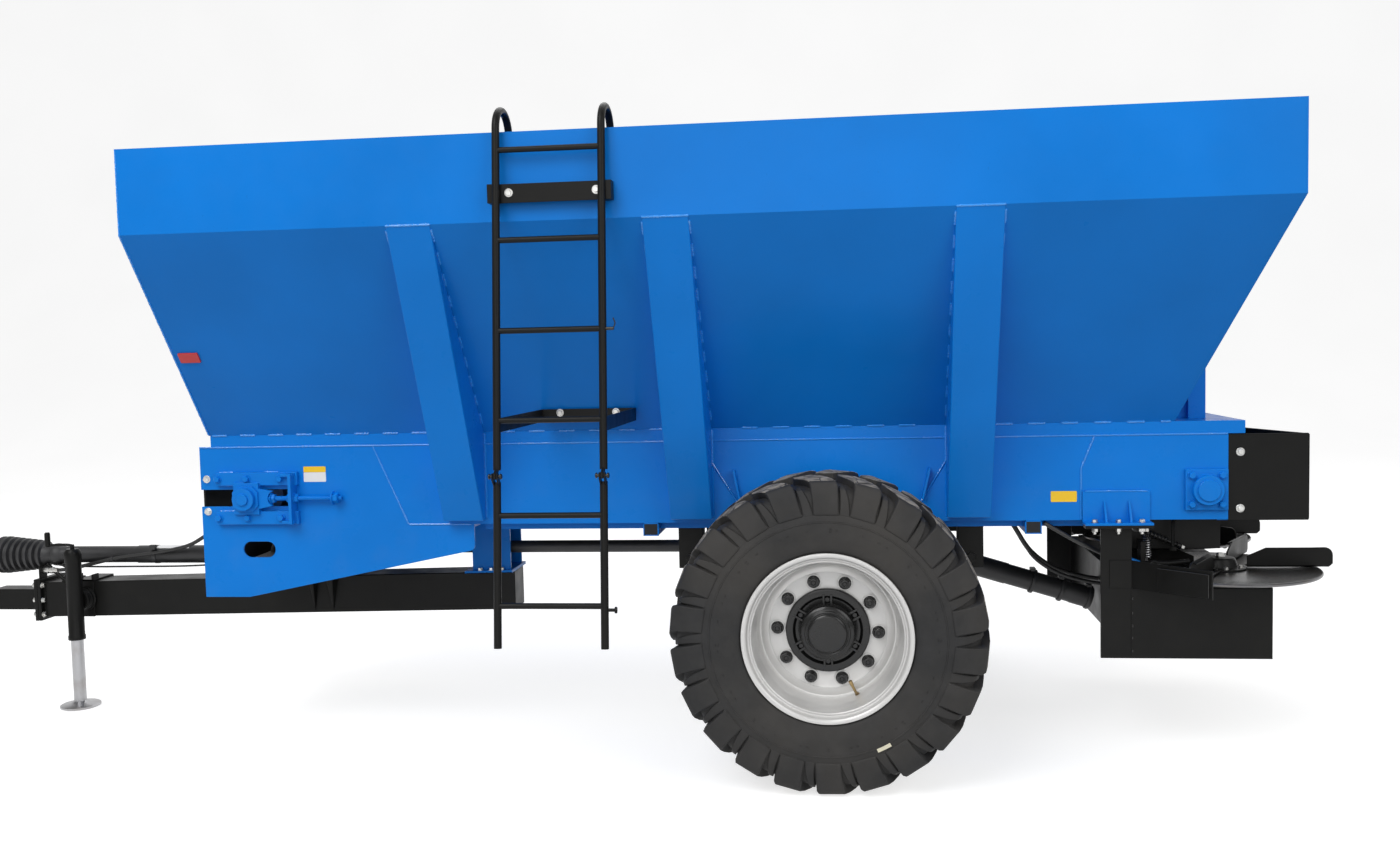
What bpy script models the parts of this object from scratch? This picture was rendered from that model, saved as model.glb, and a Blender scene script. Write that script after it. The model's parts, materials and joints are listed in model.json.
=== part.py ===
"""Trailed manure spreader with a V hopper, belt floor, twin spinner discs and a boarding ladder.

Machine axes: X = 0 at the axle and runs rearward, -Y is the machine's left side, Z is up.
All solids hang on the empty "datum", which puts the origin at the bottom centre of the whole machine.
"""
from math import atan2, cos, hypot, pi, radians, sin, tan

import bmesh
import bpy
from mathutils import Matrix, Vector

# ---- fits ----------------------------------------------------------------------------------------
GAP = 0.0003                # between pieces that touch
SLIDE_GAP = 0.0005          # between a shoe and its guide

# ---- wheels and axle -----------------------------------------------------------------------------
AXLE_Z = 0.50               # axle height in machine axes
TYRE_RADIUS = 0.52
TYRE_WIDTH = 0.385
TRACK_HALF = 0.89           # machine centre to tyre centre
RIM_RADIUS = 0.2730         # bead seat
RIM_FLANGE = 0.2870
SPINDLE_RADIUS = 0.035
AXLE_SIZE = 0.10
AXLE_HALF = TRACK_HALF - 0.27

# ---- hopper --------------------------------------------------------------------------------------
HOPPER_FRONT = -2.33
HOPPER_LENGTH = 3.775
HOPPER_HALF = 1.10
HOPPER_TOP = 2.15
BAND_HEIGHT = 0.285         # upright band above the sloping sides
SHEET = 0.006
RIM_LIP = 0.045             # inward fold along the top edge
REAR_SLOPE_RUN = 0.252      # how far the rear wall comes forward on its way down
HOPPER_FOOT_X = HOPPER_FRONT + HOPPER_LENGTH - REAR_SLOPE_RUN

# ---- chassis -------------------------------------------------------------------------------------
CHASSIS_HALF = 0.57
CHASSIS_TOP = 1.11
CHASSIS_DEPTH = 0.298
CHASSIS_FRONT = -2.377
CHASSIS_REAR = HOPPER_FOOT_X + 0.185
CHASSIS_LOW = CHASSIS_TOP - CHASSIS_DEPTH
WEB = 0.008
FLANGE_TOP_HALF = CHASSIS_HALF - 0.07     # inner edge of the top flange
FLANGE_LOW_HALF = CHASSIS_HALF - 0.17     # inner edge of the bottom flange
LIP_DROP = 0.027
SILL_HEIGHT = 0.045
SILL_WIDTH = 0.07
SILL_REAR = HOPPER_FOOT_X + 0.241
SKIRT_DEPTH = 0.139
RIB_CENTRES = (-1.335, -0.489, 0.494)
RIB_WIDTH = 0.15
RIB_FOOT = 0.05             # how far a rib stands out at its foot
RIB_FOOT_Z = 0.83
GUSSET_RUN = 0.14
GUSSET_RISE = 0.22
CROSS_TUBES = {"front": -0.645, "rear": 0.720}
CROSS_TUBE_WIDTH = 0.057
CROSS_TUBE_HEIGHT = 0.048

# ---- front plates and belt tensioner ---------------------------------------------------------------
PLATE_BOTTOM = 0.537
PLATE_KNEE_X = -2.20
PLATE_TAIL_X = -1.31
PLATE_TAIL_Z = 0.711
SEAM_LOW_X = -1.56
SEAM_TOP_X = -1.69
SLOT_REAR = -2.00
SLOT_HEIGHT = 0.0645
STADIUM_CENTRE = (-2.153, 0.720)
STADIUM_SIZE = (0.129, 0.061)
GUIDE_BAR = (-2.308, -1.984)
SCREW_REAR = -1.808

# ---- belt floor ------------------------------------------------------------------------------------
BELT_Z = CHASSIS_TOP - 0.193
TAIL_ROLLER_X = -2.182
DRIVE_ROLLER_X = HOPPER_FOOT_X + 0.111
ROLLER_RADIUS = 0.085
ROLLER_HALF = CHASSIS_HALF - 0.10
BELT_HALF = CHASSIS_HALF - 0.09
BELT_THICK = 0.010
SHAFT_RADIUS = 0.025
FLOOR_THICK = 0.008
TAIL_SHAFT_END = CHASSIS_HALF + 0.05
DRIVE_SHAFT_END = CHASSIS_HALF + 0.03
BEARING_HALF = 0.0715

# ---- drawbar, jack and power take-off --------------------------------------------------------------
DRAWBAR_FRONT = -3.40
DRAWBAR_REAR = -1.30
DRAWBAR_HALF = 0.07
DRAWBAR_FRONT_Z = (0.349, 0.499)
DRAWBAR_REAR_Z = (0.3865, 0.5447)
FLANGE_HALF = 0.09
FLANGE_THICK = 0.015
RING_X = -3.70
RING_RADIUS = 0.085
RING_HOLE = 0.030
RING_THICK = 0.040
RING_Z = 0.42
PEDESTAL_X = (-1.47, -1.31)
CROSSMEMBER_X = (-2.30, -2.22)
CROSSMEMBER_Z = (0.545, 0.62)
JACK_X = -3.199
JACK_BOSS_END = 0.115
JACK_TUBE = 0.032
JACK_BORE = 0.0255
JACK_LEG = 0.025
JACK_FOOT = 0.08
JACK_TRAVEL = 0.26
PTO_Z = 0.61
PTO_GUARD = 0.038
PTO_GUARD_FRONT = -3.50
PTO_SHAFT = 0.020
PTO_FRONT = -3.75
MID_SHAFT_Z = 0.637
MID_SHAFT_RADIUS = 0.025
MID_JOINT_X = 0.30
REAR_SHAFT_RADIUS = 0.042
HOSE_RADIUS = 0.008
HOSE_ROUTE = (
    (-2.3726, -0.200, 0.800), (-2.410, -0.200, 0.797), (-2.500, -0.178, 0.765), (-2.600, -0.130, 0.722),
    (-2.750, -0.080, 0.668), (-2.900, -0.056, 0.628), (-3.000, -0.051, 0.601), (-3.100, -0.050, 0.578),
    (-3.200, -0.050, 0.560), (-3.280, -0.050, 0.551), (-3.334, -0.050, 0.549))

# ---- spreading unit --------------------------------------------------------------------------------
LEG_X = (HOPPER_FOOT_X - 0.25, HOPPER_FOOT_X - 0.145)
LEG_Y = (CHASSIS_HALF + 0.025, CHASSIS_HALF + 0.035)
LEG_TOP = CHASSIS_LOW - 0.012
BRACKET_X = (LEG_X[0] - 0.056, LEG_X[1] + 0.068)
BRACKET_OUT = CHASSIS_HALF + 0.065
BRACKET_HEIGHT = 0.114
FLANGE_PLATE = 0.010
HOUSING_REAR = LEG_X[1] + 0.469
HOUSING_Z = (0.33, 0.577)
HOUSING_WALL = 0.008
GEARBOX_HALF = 0.15
DISC_X = LEG_X[1] + 0.352
DISC_Y = 0.40
DISC_RADIUS = 0.335
DISC_Z = 0.605
DISC_THICK = 0.010
VANE_RADIUS = 0.385
VANE_HEIGHT = 0.070
VANE_THICK = 0.006
VANE_ANGLES = (0, 60, 180, 240)
WING_TIP = (LEG_X[1] + 0.212, LEG_Y[1] + 0.215)
WING_TOP = HOUSING_Z[1] + 0.098
DEFLECTOR_REAR = CHASSIS_REAR + 0.266
DEFLECTOR_Z = (CHASSIS_LOW - 0.004, CHASSIS_TOP - 0.003)
DEFLECTOR_APEX = CHASSIS_REAR + 0.072
CHUTE_X = (LEG_X[1] + 0.012, CHASSIS_REAR - 0.008)
CHUTE_LOW_Z = 0.70

# ---- rear gate -------------------------------------------------------------------------------------
GATE_X = HOPPER_FOOT_X + 0.117
GATE_THICK = 0.008
GATE_HALF = 0.392
GATE_LOW_Z = BELT_Z + ROLLER_RADIUS + BELT_THICK + 0.008
GATE_HEIGHT = 0.27
GATE_TRAVEL = 0.13
GUIDE_HALF = 0.010          # half width of the guide groove
POST_X = (GATE_X - 0.03, GATE_X + 0.03)
POST_Y = (GATE_HALF - 0.022, GATE_HALF + 0.038)
GROOVE_END = GATE_HALF + 0.008

# ---- ladder ----------------------------------------------------------------------------------------
LADDER_X = (-1.0225, -0.681)
RAIL_RADIUS = 0.0125
RUNG_RADIUS = 0.0095
RUNGS_UPPER = (2.087, 1.80, 1.513, 1.231)
RUNGS_LOWER = (0.933, 0.652)
LADDER_TOP_Y = -HOPPER_HALF - 0.028       # rail centre at the hopper's top edge
LADDER_LEAN = 0.1021        # outward run for each metre down
HINGE_Z = 1.058
HINGE_OFFSET = 0.022        # hinge pin outside the rail centre
LADDER_BOTTOM = 0.52
HOOK_REACH = 0.080          # half of the hook's depth over the hopper's edge
HOOK_RISE = 0.075

# ---- derived places --------------------------------------------------------------------------------
SIDES = {"left": -1, "right": 1}
BAND_Z = HOPPER_TOP - BAND_HEIGHT
SILL_TOP = CHASSIS_TOP + SILL_HEIGHT
HOPPER_REAR = HOPPER_FRONT + HOPPER_LENGTH
GROUND = AXLE_Z - TYRE_RADIUS
HITCH_FRONT = RING_X - RING_RADIUS
DISC_TIP = DISC_X + VANE_RADIUS


def ladder_y(z):
    """Y of the ladder rail's centre at height z."""
    return LADDER_TOP_Y - LADDER_LEAN * (HOPPER_TOP - z)


LADDER_OUTER = ladder_y(LADDER_BOTTOM) - RAIL_RADIUS * cos(atan2(LADDER_LEAN, 1))
ORIGIN = Vector(((HITCH_FRONT + DISC_TIP) / 2, (LADDER_OUTER + HOPPER_HALF) / 2, GROUND))

# ---- colours ---------------------------------------------------------------------------------------
BLUE = ("blue_paint", (0.013, 0.205, 0.68, 1), 0.35, 0.0)
BLACK = ("black_paint", (0.017, 0.017, 0.017, 1), 0.4, 0.0)
RUBBER = ("tyre_rubber", (0.02, 0.02, 0.02, 1), 0.8, 0.0)
BELT = ("belt_rubber", (0.015, 0.015, 0.015, 1), 0.7, 0.0)
SILVER = ("rim_paint", (0.58, 0.59, 0.60, 1), 0.35, 0.6)
STEEL = ("bare_steel", (0.45, 0.45, 0.46, 1), 0.35, 1.0)
PLASTIC = ("guard_plastic", (0.02, 0.02, 0.021, 1), 0.5, 0.0)

for old in list(bpy.data.objects):
    bpy.data.objects.remove(old, do_unlink=True)


# ---- makers ----------------------------------------------------------------------------------------
def material(spec):
    """One Principled material for one object."""
    name, colour, roughness, metallic = spec
    made = bpy.data.materials.new(name)
    made.use_nodes = True
    shader = made.node_tree.nodes["Principled BSDF"]
    shader.inputs["Base Color"].default_value = colour
    shader.inputs["Roughness"].default_value = roughness
    shader.inputs["Metallic"].default_value = metallic
    return made


def prism(outline, low, high, axis="Y"):
    """Closed prism of a 2-D outline. X: outline is (y, z). Y: (x, z). Z: (x, y)."""
    place = {"X": lambda p, d: (d, p[0], p[1]),
             "Y": lambda p, d: (p[0], d, p[1]),
             "Z": lambda p, d: (p[0], p[1], d)}[axis]
    mesh = bmesh.new()
    near = [mesh.verts.new(place(point, min(low, high))) for point in outline]
    far = [mesh.verts.new(place(point, max(low, high))) for point in outline]
    mesh.faces.new(near)
    mesh.faces.new(far)
    for i in range(len(outline)):
        j = (i + 1) % len(outline)
        mesh.faces.new((near[i], near[j], far[j], far[i]))
    bmesh.ops.recalc_face_normals(mesh, faces=mesh.faces)
    return mesh


def block(x, y, z):
    """Box between two values on each axis."""
    return prism([(x[0], z[0]), (x[1], z[0]), (x[1], z[1]), (x[0], z[1])], y[0], y[1])


def side_block(side, x, y, z):
    """Box on one side of the machine, y given as distances from the centre plane."""
    return block(x, (side * y[0], side * y[1]), z)


def lathe(profile, centre, axis, steps=32):
    """Closed solid of revolution. profile is (radius, distance along axis) round the section."""
    direction = Vector(axis).normalized()
    turn = direction.to_track_quat("Z", "X").to_matrix().to_4x4()
    place = Matrix.Translation(Vector(centre)) @ turn
    mesh = bmesh.new()
    rings = []
    for radius, along in profile:
        if radius < 1e-6:
            rings.append([mesh.verts.new(place @ Vector((0, 0, along)))])
            continue
        ring = []
        for step in range(steps):
            angle = 2 * pi * step / steps
            ring.append(mesh.verts.new(place @ Vector((radius * cos(angle), radius * sin(angle), along))))
        rings.append(ring)
    for i in range(len(rings)):
        a, b = rings[i], rings[(i + 1) % len(rings)]
        if len(a) == 1 and len(b) == 1:
            continue
        for step in range(steps):
            k = (step + 1) % steps
            if len(a) == 1:
                mesh.faces.new((a[0], b[step], b[k]))
            elif len(b) == 1:
                mesh.faces.new((a[step], a[k], b[0]))
            else:
                mesh.faces.new((a[step], a[k], b[k], b[step]))
    bmesh.ops.recalc_face_normals(mesh, faces=mesh.faces)
    return mesh


def loft(levels):
    """Closed solid through outlines that all have the same number of points."""
    mesh = bmesh.new()
    rings = [[mesh.verts.new(point) for point in level] for level in levels]
    count = len(rings[0])
    for a, b in zip(rings, rings[1:]):
        for i in range(count):
            j = (i + 1) % count
            mesh.faces.new((a[i], a[j], b[j], b[i]))
    mesh.faces.new(rings[0])
    mesh.faces.new(rings[-1])
    bmesh.ops.recalc_face_normals(mesh, faces=mesh.faces)
    return mesh


def rod(start, end, radius, steps=16):
    """Plain round bar between two points."""
    axis = Vector(end) - Vector(start)
    return lathe([(0, 0), (radius, 0), (radius, axis.length), (0, axis.length)], start, axis, steps)


def sweep(points, radius, steps=10):
    """Round tube of one radius along a list of points, with closed ends."""
    path = [Vector(point) for point in points]
    mesh = bmesh.new()
    rings = []
    side = Vector((1, 0, 0)) if abs((path[1] - path[0]).normalized().x) < 0.9 else Vector((0, 1, 0))
    for i, point in enumerate(path):
        ahead = path[min(i + 1, len(path) - 1)]
        behind = path[max(i - 1, 0)]
        tangent = (ahead - behind).normalized()
        side = (side - tangent * side.dot(tangent)).normalized()
        up = tangent.cross(side)
        ring = []
        for step in range(steps):
            angle = 2 * pi * step / steps
            ring.append(mesh.verts.new(point + radius * (cos(angle) * side + sin(angle) * up)))
        rings.append(ring)
    for a, b in zip(rings, rings[1:]):
        for step in range(steps):
            k = (step + 1) % steps
            mesh.faces.new((a[step], a[k], b[k], b[step]))
    mesh.faces.new(rings[0])
    mesh.faces.new(rings[-1])
    bmesh.ops.recalc_face_normals(mesh, faces=mesh.faces)
    return mesh


def arc(centre, radius, start, end, steps):
    """Points on a circular arc, angles in degrees."""
    angles = [radians(start + (end - start) * i / steps) for i in range(steps + 1)]
    return [(centre[0] + radius * cos(a), centre[1] + radius * sin(a)) for a in angles]


def smooth(points, count):
    """count points, evenly spaced, on a Catmull-Rom curve through the given ones."""
    route = [Vector(point) for point in points]
    route = [2 * route[0] - route[1]] + route + [2 * route[-1] - route[-2]]
    dense = []
    for i in range(1, len(route) - 2):
        a, b, c, d = route[i - 1:i + 3]
        for step in range(24):
            t = step / 24
            dense.append(0.5 * (2 * b + (c - a) * t + (2 * a - 5 * b + 4 * c - d) * t * t
                                + (3 * b - a - 3 * c + d) * t ** 3))
    dense.append(route[-2])
    lengths = [0.0]
    for a, b in zip(dense, dense[1:]):
        lengths.append(lengths[-1] + (b - a).length)
    picked = []
    k = 0
    for i in range(count):
        target = lengths[-1] * i / (count - 1)
        while k < len(dense) - 2 and lengths[k + 1] < target:
            k += 1
        share = (target - lengths[k]) / (lengths[k + 1] - lengths[k])
        picked.append(dense[k].lerp(dense[k + 1], min(max(share, 0), 1)))
    return picked


def offset_line(points, distance):
    """Open 2-D line moved sideways by distance, corners mitred."""
    normals = []
    for a, b in zip(points, points[1:]):
        length = hypot(b[0] - a[0], b[1] - a[1])
        normals.append(Vector(((b[1] - a[1]) / length, -(b[0] - a[0]) / length)))
    moved = []
    for i, point in enumerate(points):
        first = normals[max(i - 1, 0)]
        second = normals[min(i, len(normals) - 1)]
        bisector = (first + second).normalized()
        moved.append(tuple(Vector(point) + bisector * distance / bisector.dot(first)))
    return moved


DATUM = bpy.data.objects.new("datum", None)
DATUM.location = -ORIGIN
bpy.context.scene.collection.objects.link(DATUM)


def link(mesh, name, origin):
    """Put a bmesh into the scene as an object whose origin is a machine point."""
    bmesh.ops.translate(mesh, verts=mesh.verts, vec=-Vector(origin))
    data = bpy.data.meshes.new(name)
    mesh.to_mesh(data)
    mesh.free()
    made = bpy.data.objects.new(name, data)
    made.location = origin
    made.parent = DATUM
    bpy.context.scene.collection.objects.link(made)
    return made


def node(name, spec, solids, cuts=(), origin=(0, 0, 0), rounded=False):
    """One closed solid: the first solid, joined by the others, less the cuts."""
    made = link(solids[0], name, origin)
    made.data.materials.append(material(spec))
    for operation, tools in (("UNION", solids[1:]), ("DIFFERENCE", cuts)):
        for number, tool in enumerate(tools):
            guide = link(tool, f"{name}_{operation.lower()}_{number}", origin)
            guide.hide_render = True
            guide.display_type = "WIRE"
            modifier = made.modifiers.new(f"{operation.lower()} {number}", "BOOLEAN")
            modifier.operation = operation
            modifier.solver = "EXACT"
            modifier.object = guide
    if rounded:
        made.data.shade_smooth()
        made.data.set_sharp_from_angle(angle=radians(35))
    return made


# ---- hopper ----------------------------------------------------------------------------------------
def rear_x(z):
    """X of the rear wall's inner face at height z."""
    share = max(0.0, (BAND_Z - z) / (BAND_Z - SILL_TOP))
    return HOPPER_REAR - REAR_SLOPE_RUN * share


def slope_y(z):
    """Distance of the sloping side's outer face from the centre plane at height z."""
    return CHASSIS_HALF + (HOPPER_HALF - CHASSIS_HALF) * (z - SILL_TOP) / (BAND_Z - SILL_TOP)


def hopper_side(name, side):
    """Folded side sheet whose rear end follows the rear wall."""
    outer = [(HOPPER_HALF, HOPPER_TOP), (HOPPER_HALF, BAND_Z), (CHASSIS_HALF, SILL_TOP + GAP)]
    inner = offset_line(outer, SHEET)
    fall = Vector((HOPPER_HALF - CHASSIS_HALF, BAND_Z - SILL_TOP))
    inner[-1] = (CHASSIS_HALF - SHEET * fall.length / fall.y, SILL_TOP + GAP)
    inner[1] = (inner[1][0], BAND_Z)
    lip = [(HOPPER_HALF - RIM_LIP, HOPPER_TOP - SHEET), (HOPPER_HALF - RIM_LIP, HOPPER_TOP)]
    inner[0] = (inner[0][0], HOPPER_TOP - SHEET)
    outline = outer + inner[::-1] + lip
    sheet = prism([(side * y, z) for y, z in outline], HOPPER_FRONT + GAP, HOPPER_REAR, "X")
    middle = (HOPPER_FRONT + HOPPER_REAR) / 2
    for vert in sheet.verts:
        if vert.co.x > middle:
            vert.co.x = rear_x(vert.co.z)
    node(name, BLUE, [sheet])


def hopper_walls():
    """Upright front wall and sloping rear wall."""
    half = [(HOPPER_HALF, HOPPER_TOP), (HOPPER_HALF, BAND_Z), (CHASSIS_HALF, SILL_TOP + GAP)]
    mirrored = [(-y, z) for y, z in reversed(half)]
    seat = CHASSIS_HALF - SILL_WIDTH - GAP
    foot = [(seat, SILL_TOP + GAP), (seat, CHASSIS_TOP + GAP)]
    front = half + foot + [(-y, z) for y, z in reversed(foot)] + mirrored
    node("hopper_front_wall", BLUE, [prism(front, HOPPER_FRONT - SHEET, HOPPER_FRONT, "X")])
    levels = []
    for y, z in half:
        face = rear_x(z) + GAP
        levels.append([(face, -y, z), (face, y, z), (face + SHEET, y, z), (face + SHEET, -y, z)])
    node("hopper_rear_wall", BLUE, [loft(levels)])


def rib(name, side, number, centre):
    """Tapered box rib from the band down to the chassis, some with a welded corner plate."""
    seam = GAP * 1.5
    outline = [(HOPPER_HALF, BAND_Z - seam), (CHASSIS_HALF + RIB_FOOT, RIB_FOOT_Z),
               (CHASSIS_HALF + GAP, RIB_FOOT_Z), (CHASSIS_HALF + GAP, SILL_TOP - seam)]
    body = prism([(side * y, z) for y, z in outline], centre - RIB_WIDTH / 2, centre + RIB_WIDTH / 2, "X")
    solids = [body]
    toward = {1: 1, 2: -1}.get(number)
    if toward:
        edge = centre + toward * (RIB_WIDTH / 2 - SHEET)
        low = CHASSIS_LOW + GAP
        corner = [(edge, low + GUSSET_RISE), (edge, low), (edge + toward * GUSSET_RUN, low)]
        solids.append(prism(corner, side * (CHASSIS_HALF + GAP), side * (CHASSIS_HALF + GAP + SHEET)))
    node(name, BLUE, solids)


# ---- chassis ---------------------------------------------------------------------------------------
def sill(name, side):
    """Box along the hopper's foot, with the skirt that closes the gap to the belt."""
    inner = CHASSIS_HALF - SILL_WIDTH
    box = side_block(side, (HOPPER_FRONT, SILL_REAR), (inner, CHASSIS_HALF), (CHASSIS_TOP + GAP, SILL_TOP))
    skirt = side_block(side, (SLOT_REAR, rear_x(SILL_TOP)), (inner - 0.004, inner + 0.002),
                       (SILL_TOP - SKIRT_DEPTH, SILL_TOP - 0.01))
    flange_rest = side_block(side, (SLOT_REAR - 0.1, SILL_REAR + 1), (inner - 0.001, inner + 0.01),
                             (0, CHASSIS_TOP + GAP))
    node(name, BLUE, [box, skirt], [flange_rest])


def rail(name, side):
    """Pressed side rail behind the front plate."""
    outer = (CHASSIS_HALF - WEB, CHASSIS_HALF)
    web = prism([(SEAM_TOP_X + GAP * 2, CHASSIS_TOP), (CHASSIS_REAR, CHASSIS_TOP),
                 (CHASSIS_REAR, CHASSIS_LOW), (SEAM_LOW_X + GAP * 2, CHASSIS_LOW)],
                side * outer[0], side * outer[1])
    joined = CHASSIS_HALF - WEB / 2
    top = side_block(side, (SEAM_LOW_X + 0.01, CHASSIS_REAR), (FLANGE_TOP_HALF, joined),
                     (CHASSIS_TOP - WEB, CHASSIS_TOP))
    bottom = side_block(side, (SEAM_LOW_X + 0.01, CHASSIS_REAR), (FLANGE_LOW_HALF, joined),
                        (CHASSIS_LOW, CHASSIS_LOW + SHEET))
    lip = side_block(side, (PLATE_TAIL_X + 0.03, LEG_X[0] - 0.013), (CHASSIS_HALF - 0.058, CHASSIS_HALF - 0.050),
                     (CHASSIS_LOW - LIP_DROP, CHASSIS_LOW + SHEET / 2))
    tab = side_block(side, (DRIVE_ROLLER_X + 0.04, CHASSIS_REAR + 0.075),
                     (CHASSIS_HALF - 2 * WEB, CHASSIS_HALF - WEB - GAP), DEFLECTOR_Z)
    tab_weld = side_block(side, (DRIVE_ROLLER_X + 0.045, CHASSIS_REAR - 0.005),
                          (CHASSIS_HALF - WEB - 0.004, joined), (CHASSIS_LOW + 0.02, CHASSIS_TOP - 0.02))
    through = (CHASSIS_HALF - 0.065, CHASSIS_HALF + 0.13)
    cuts = [rod((DRIVE_ROLLER_X, side * through[0], BELT_Z), (DRIVE_ROLLER_X, side * through[1], BELT_Z),
                SHAFT_RADIUS + 0.005)]
    for centre in CROSS_TUBES.values():
        reach = CROSS_TUBE_WIDTH / 2 + GAP
        cuts.append(side_block(side, (centre - reach, centre + reach),
                               (CHASSIS_HALF - 0.065, CHASSIS_HALF - 0.04), (CHASSIS_LOW - 0.1, CHASSIS_LOW)))
    node(name, BLUE, [web, top, bottom, lip, tab, tab_weld], cuts)


def front_plate(name, side):
    """Deep side plate with the tensioner slot and a hand hole."""
    corner = arc((PLATE_TAIL_X - 0.02, PLATE_TAIL_Z + 0.02), 0.02, -80, 0, 4)
    outline = [(CHASSIS_FRONT, CHASSIS_TOP), (CHASSIS_FRONT, PLATE_BOTTOM), (PLATE_KNEE_X, PLATE_BOTTOM)]
    outline += corner + [(PLATE_TAIL_X, CHASSIS_LOW), (SEAM_LOW_X, CHASSIS_LOW), (SEAM_TOP_X, CHASSIS_TOP)]
    plate = prism(outline, side * (CHASSIS_HALF - WEB), side * CHASSIS_HALF)
    flange = side_block(side, (CHASSIS_FRONT + 0.02, SEAM_TOP_X - 0.002),
                        (FLANGE_TOP_HALF, CHASSIS_HALF - WEB / 2), (CHASSIS_TOP - WEB, CHASSIS_TOP))
    through = (FLANGE_TOP_HALF, CHASSIS_HALF + 0.13)
    slot = side_block(side, (CHASSIS_FRONT - 0.1, SLOT_REAR), through,
                      (BELT_Z - SLOT_HEIGHT / 2, BELT_Z + SLOT_HEIGHT / 2))
    x, z = STADIUM_CENTRE
    radius = STADIUM_SIZE[1] / 2
    reach = STADIUM_SIZE[0] / 2 - radius
    hole = arc((x + reach, z), radius, -90, 90, 8) + arc((x - reach, z), radius, 90, 270, 8)
    node(name, BLUE, [plate, flange], [slot, prism(hole, side * through[0], side * through[1])])


def frame_crossings():
    """Tubes below the rails, the front cross member with its bearing, the saddle over the drawbar."""
    for name, centre in CROSS_TUBES.items():
        half = CROSS_TUBE_WIDTH / 2
        tube = block((centre - half, centre + half), (-CHASSIS_HALF, CHASSIS_HALF),
                     (CHASSIS_LOW - CROSS_TUBE_HEIGHT, CHASSIS_LOW - GAP))
        node(f"cross_tube_{name}", BLUE, [tube])
    reach = CHASSIS_HALF - WEB - GAP
    beam = block(CROSSMEMBER_X, (-reach, reach), CROSSMEMBER_Z)
    foot = block((CROSSMEMBER_X[0] + 0.01, CROSSMEMBER_X[1] - 0.01), (-0.08, 0.08),
                 (drawbar_top(CROSSMEMBER_X[1]) + GAP, CROSSMEMBER_Z[0] + 0.01))
    bearing = rod((CROSSMEMBER_X[0] - 0.045, 0, PTO_Z), (CROSSMEMBER_X[1], 0, PTO_Z), 0.062, 24)
    bore = rod((CROSSMEMBER_X[0] - 0.1, 0, PTO_Z), (CROSSMEMBER_X[0] + 0.04, 0, PTO_Z), PTO_SHAFT + GAP, 24)
    node("front_crossmember", BLACK, [beam, foot, bearing], [bore])
    guard = block((CHASSIS_FRONT + 0.005, CHASSIS_FRONT + 0.013), (-reach, reach),
                  (CHASSIS_LOW - 0.052, CHASSIS_TOP - 0.012))
    node("front_guard", BLACK, [guard])


def drawbar_top(x):
    """Height of the drawbar's upper face."""
    share = (x - DRAWBAR_FRONT) / (DRAWBAR_REAR - DRAWBAR_FRONT)
    return DRAWBAR_FRONT_Z[1] + share * (DRAWBAR_REAR_Z[1] - DRAWBAR_FRONT_Z[1])


def drawbar():
    """Box beam with end plates, jack boss and hose holder, then the pedestal and the towing ring."""
    beam = prism([(DRAWBAR_FRONT, DRAWBAR_FRONT_Z[0]), (DRAWBAR_FRONT, DRAWBAR_FRONT_Z[1]),
                  (DRAWBAR_REAR, DRAWBAR_REAR_Z[1]), (DRAWBAR_REAR, DRAWBAR_REAR_Z[0])],
                 -DRAWBAR_HALF, DRAWBAR_HALF)
    flange_z = (DRAWBAR_FRONT_Z[0] - 0.014, DRAWBAR_FRONT_Z[1] + 0.016)
    flange_x = (DRAWBAR_FRONT - 0.010, DRAWBAR_FRONT - 0.010 + FLANGE_THICK)
    flange = block(flange_x, (-FLANGE_HALF, FLANGE_HALF), flange_z)
    holder = block((flange_x[0], flange_x[0] + 0.008), (-0.075, -0.025), (flange_z[1] - 0.01, 0.572))
    band = block((JACK_X - 0.041, JACK_X + 0.041), (-DRAWBAR_HALF - 0.006, -DRAWBAR_HALF + 0.01), (0.355, 0.50))
    boss = rod((JACK_X, -DRAWBAR_HALF, 0.43), (JACK_X, -JACK_BOSS_END, 0.43), 0.04, 24)
    node("drawbar", BLACK, [beam, flange, holder, band, boss])

    front, rear = PEDESTAL_X
    saddle = block((front, rear), (-CHASSIS_HALF + WEB + GAP, CHASSIS_HALF - WEB - GAP),
                   (CHASSIS_LOW - 0.012, CHASSIS_LOW - GAP))
    solids = [saddle]
    for side in SIDES.values():
        solids.append(side_block(side, (front, rear), (0.078, 0.090),
                                 (drawbar_top(rear) + 0.006, CHASSIS_LOW - 0.006)))
    ends = (front - 0.03, DRAWBAR_REAR)
    foot = [(ends[0], drawbar_top(ends[0]) + GAP), (ends[1], drawbar_top(ends[1]) + GAP),
            (ends[1], drawbar_top(ends[1]) + 0.012), (ends[0], drawbar_top(ends[0]) + 0.012)]
    solids.append(prism(foot, -0.11, 0.11))
    node("drawbar_pedestal", BLUE, solids)

    plate = block((flange_x[0] - GAP - FLANGE_THICK, flange_x[0] - GAP), (-FLANGE_HALF, FLANGE_HALF), flange_z)
    tongue = block((RING_X + 0.05, flange_x[0] - 0.01), (-0.045, 0.045), (RING_Z - 0.045, RING_Z + 0.045))
    half = RING_THICK / 2
    ring = lathe([(RING_RADIUS - 0.006, -half), (RING_RADIUS, -half + 0.008), (RING_RADIUS, half - 0.008),
                  (RING_RADIUS - 0.006, half), (RING_HOLE, half), (RING_HOLE, -half)],
                 (RING_X, 0, RING_Z), (0, 0, 1), 32)
    node("towing_ring", BLACK, [plate, tongue, ring], [rod((RING_X, 0, 0.3), (RING_X, 0, 0.6), RING_HOLE, 32)])


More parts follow.
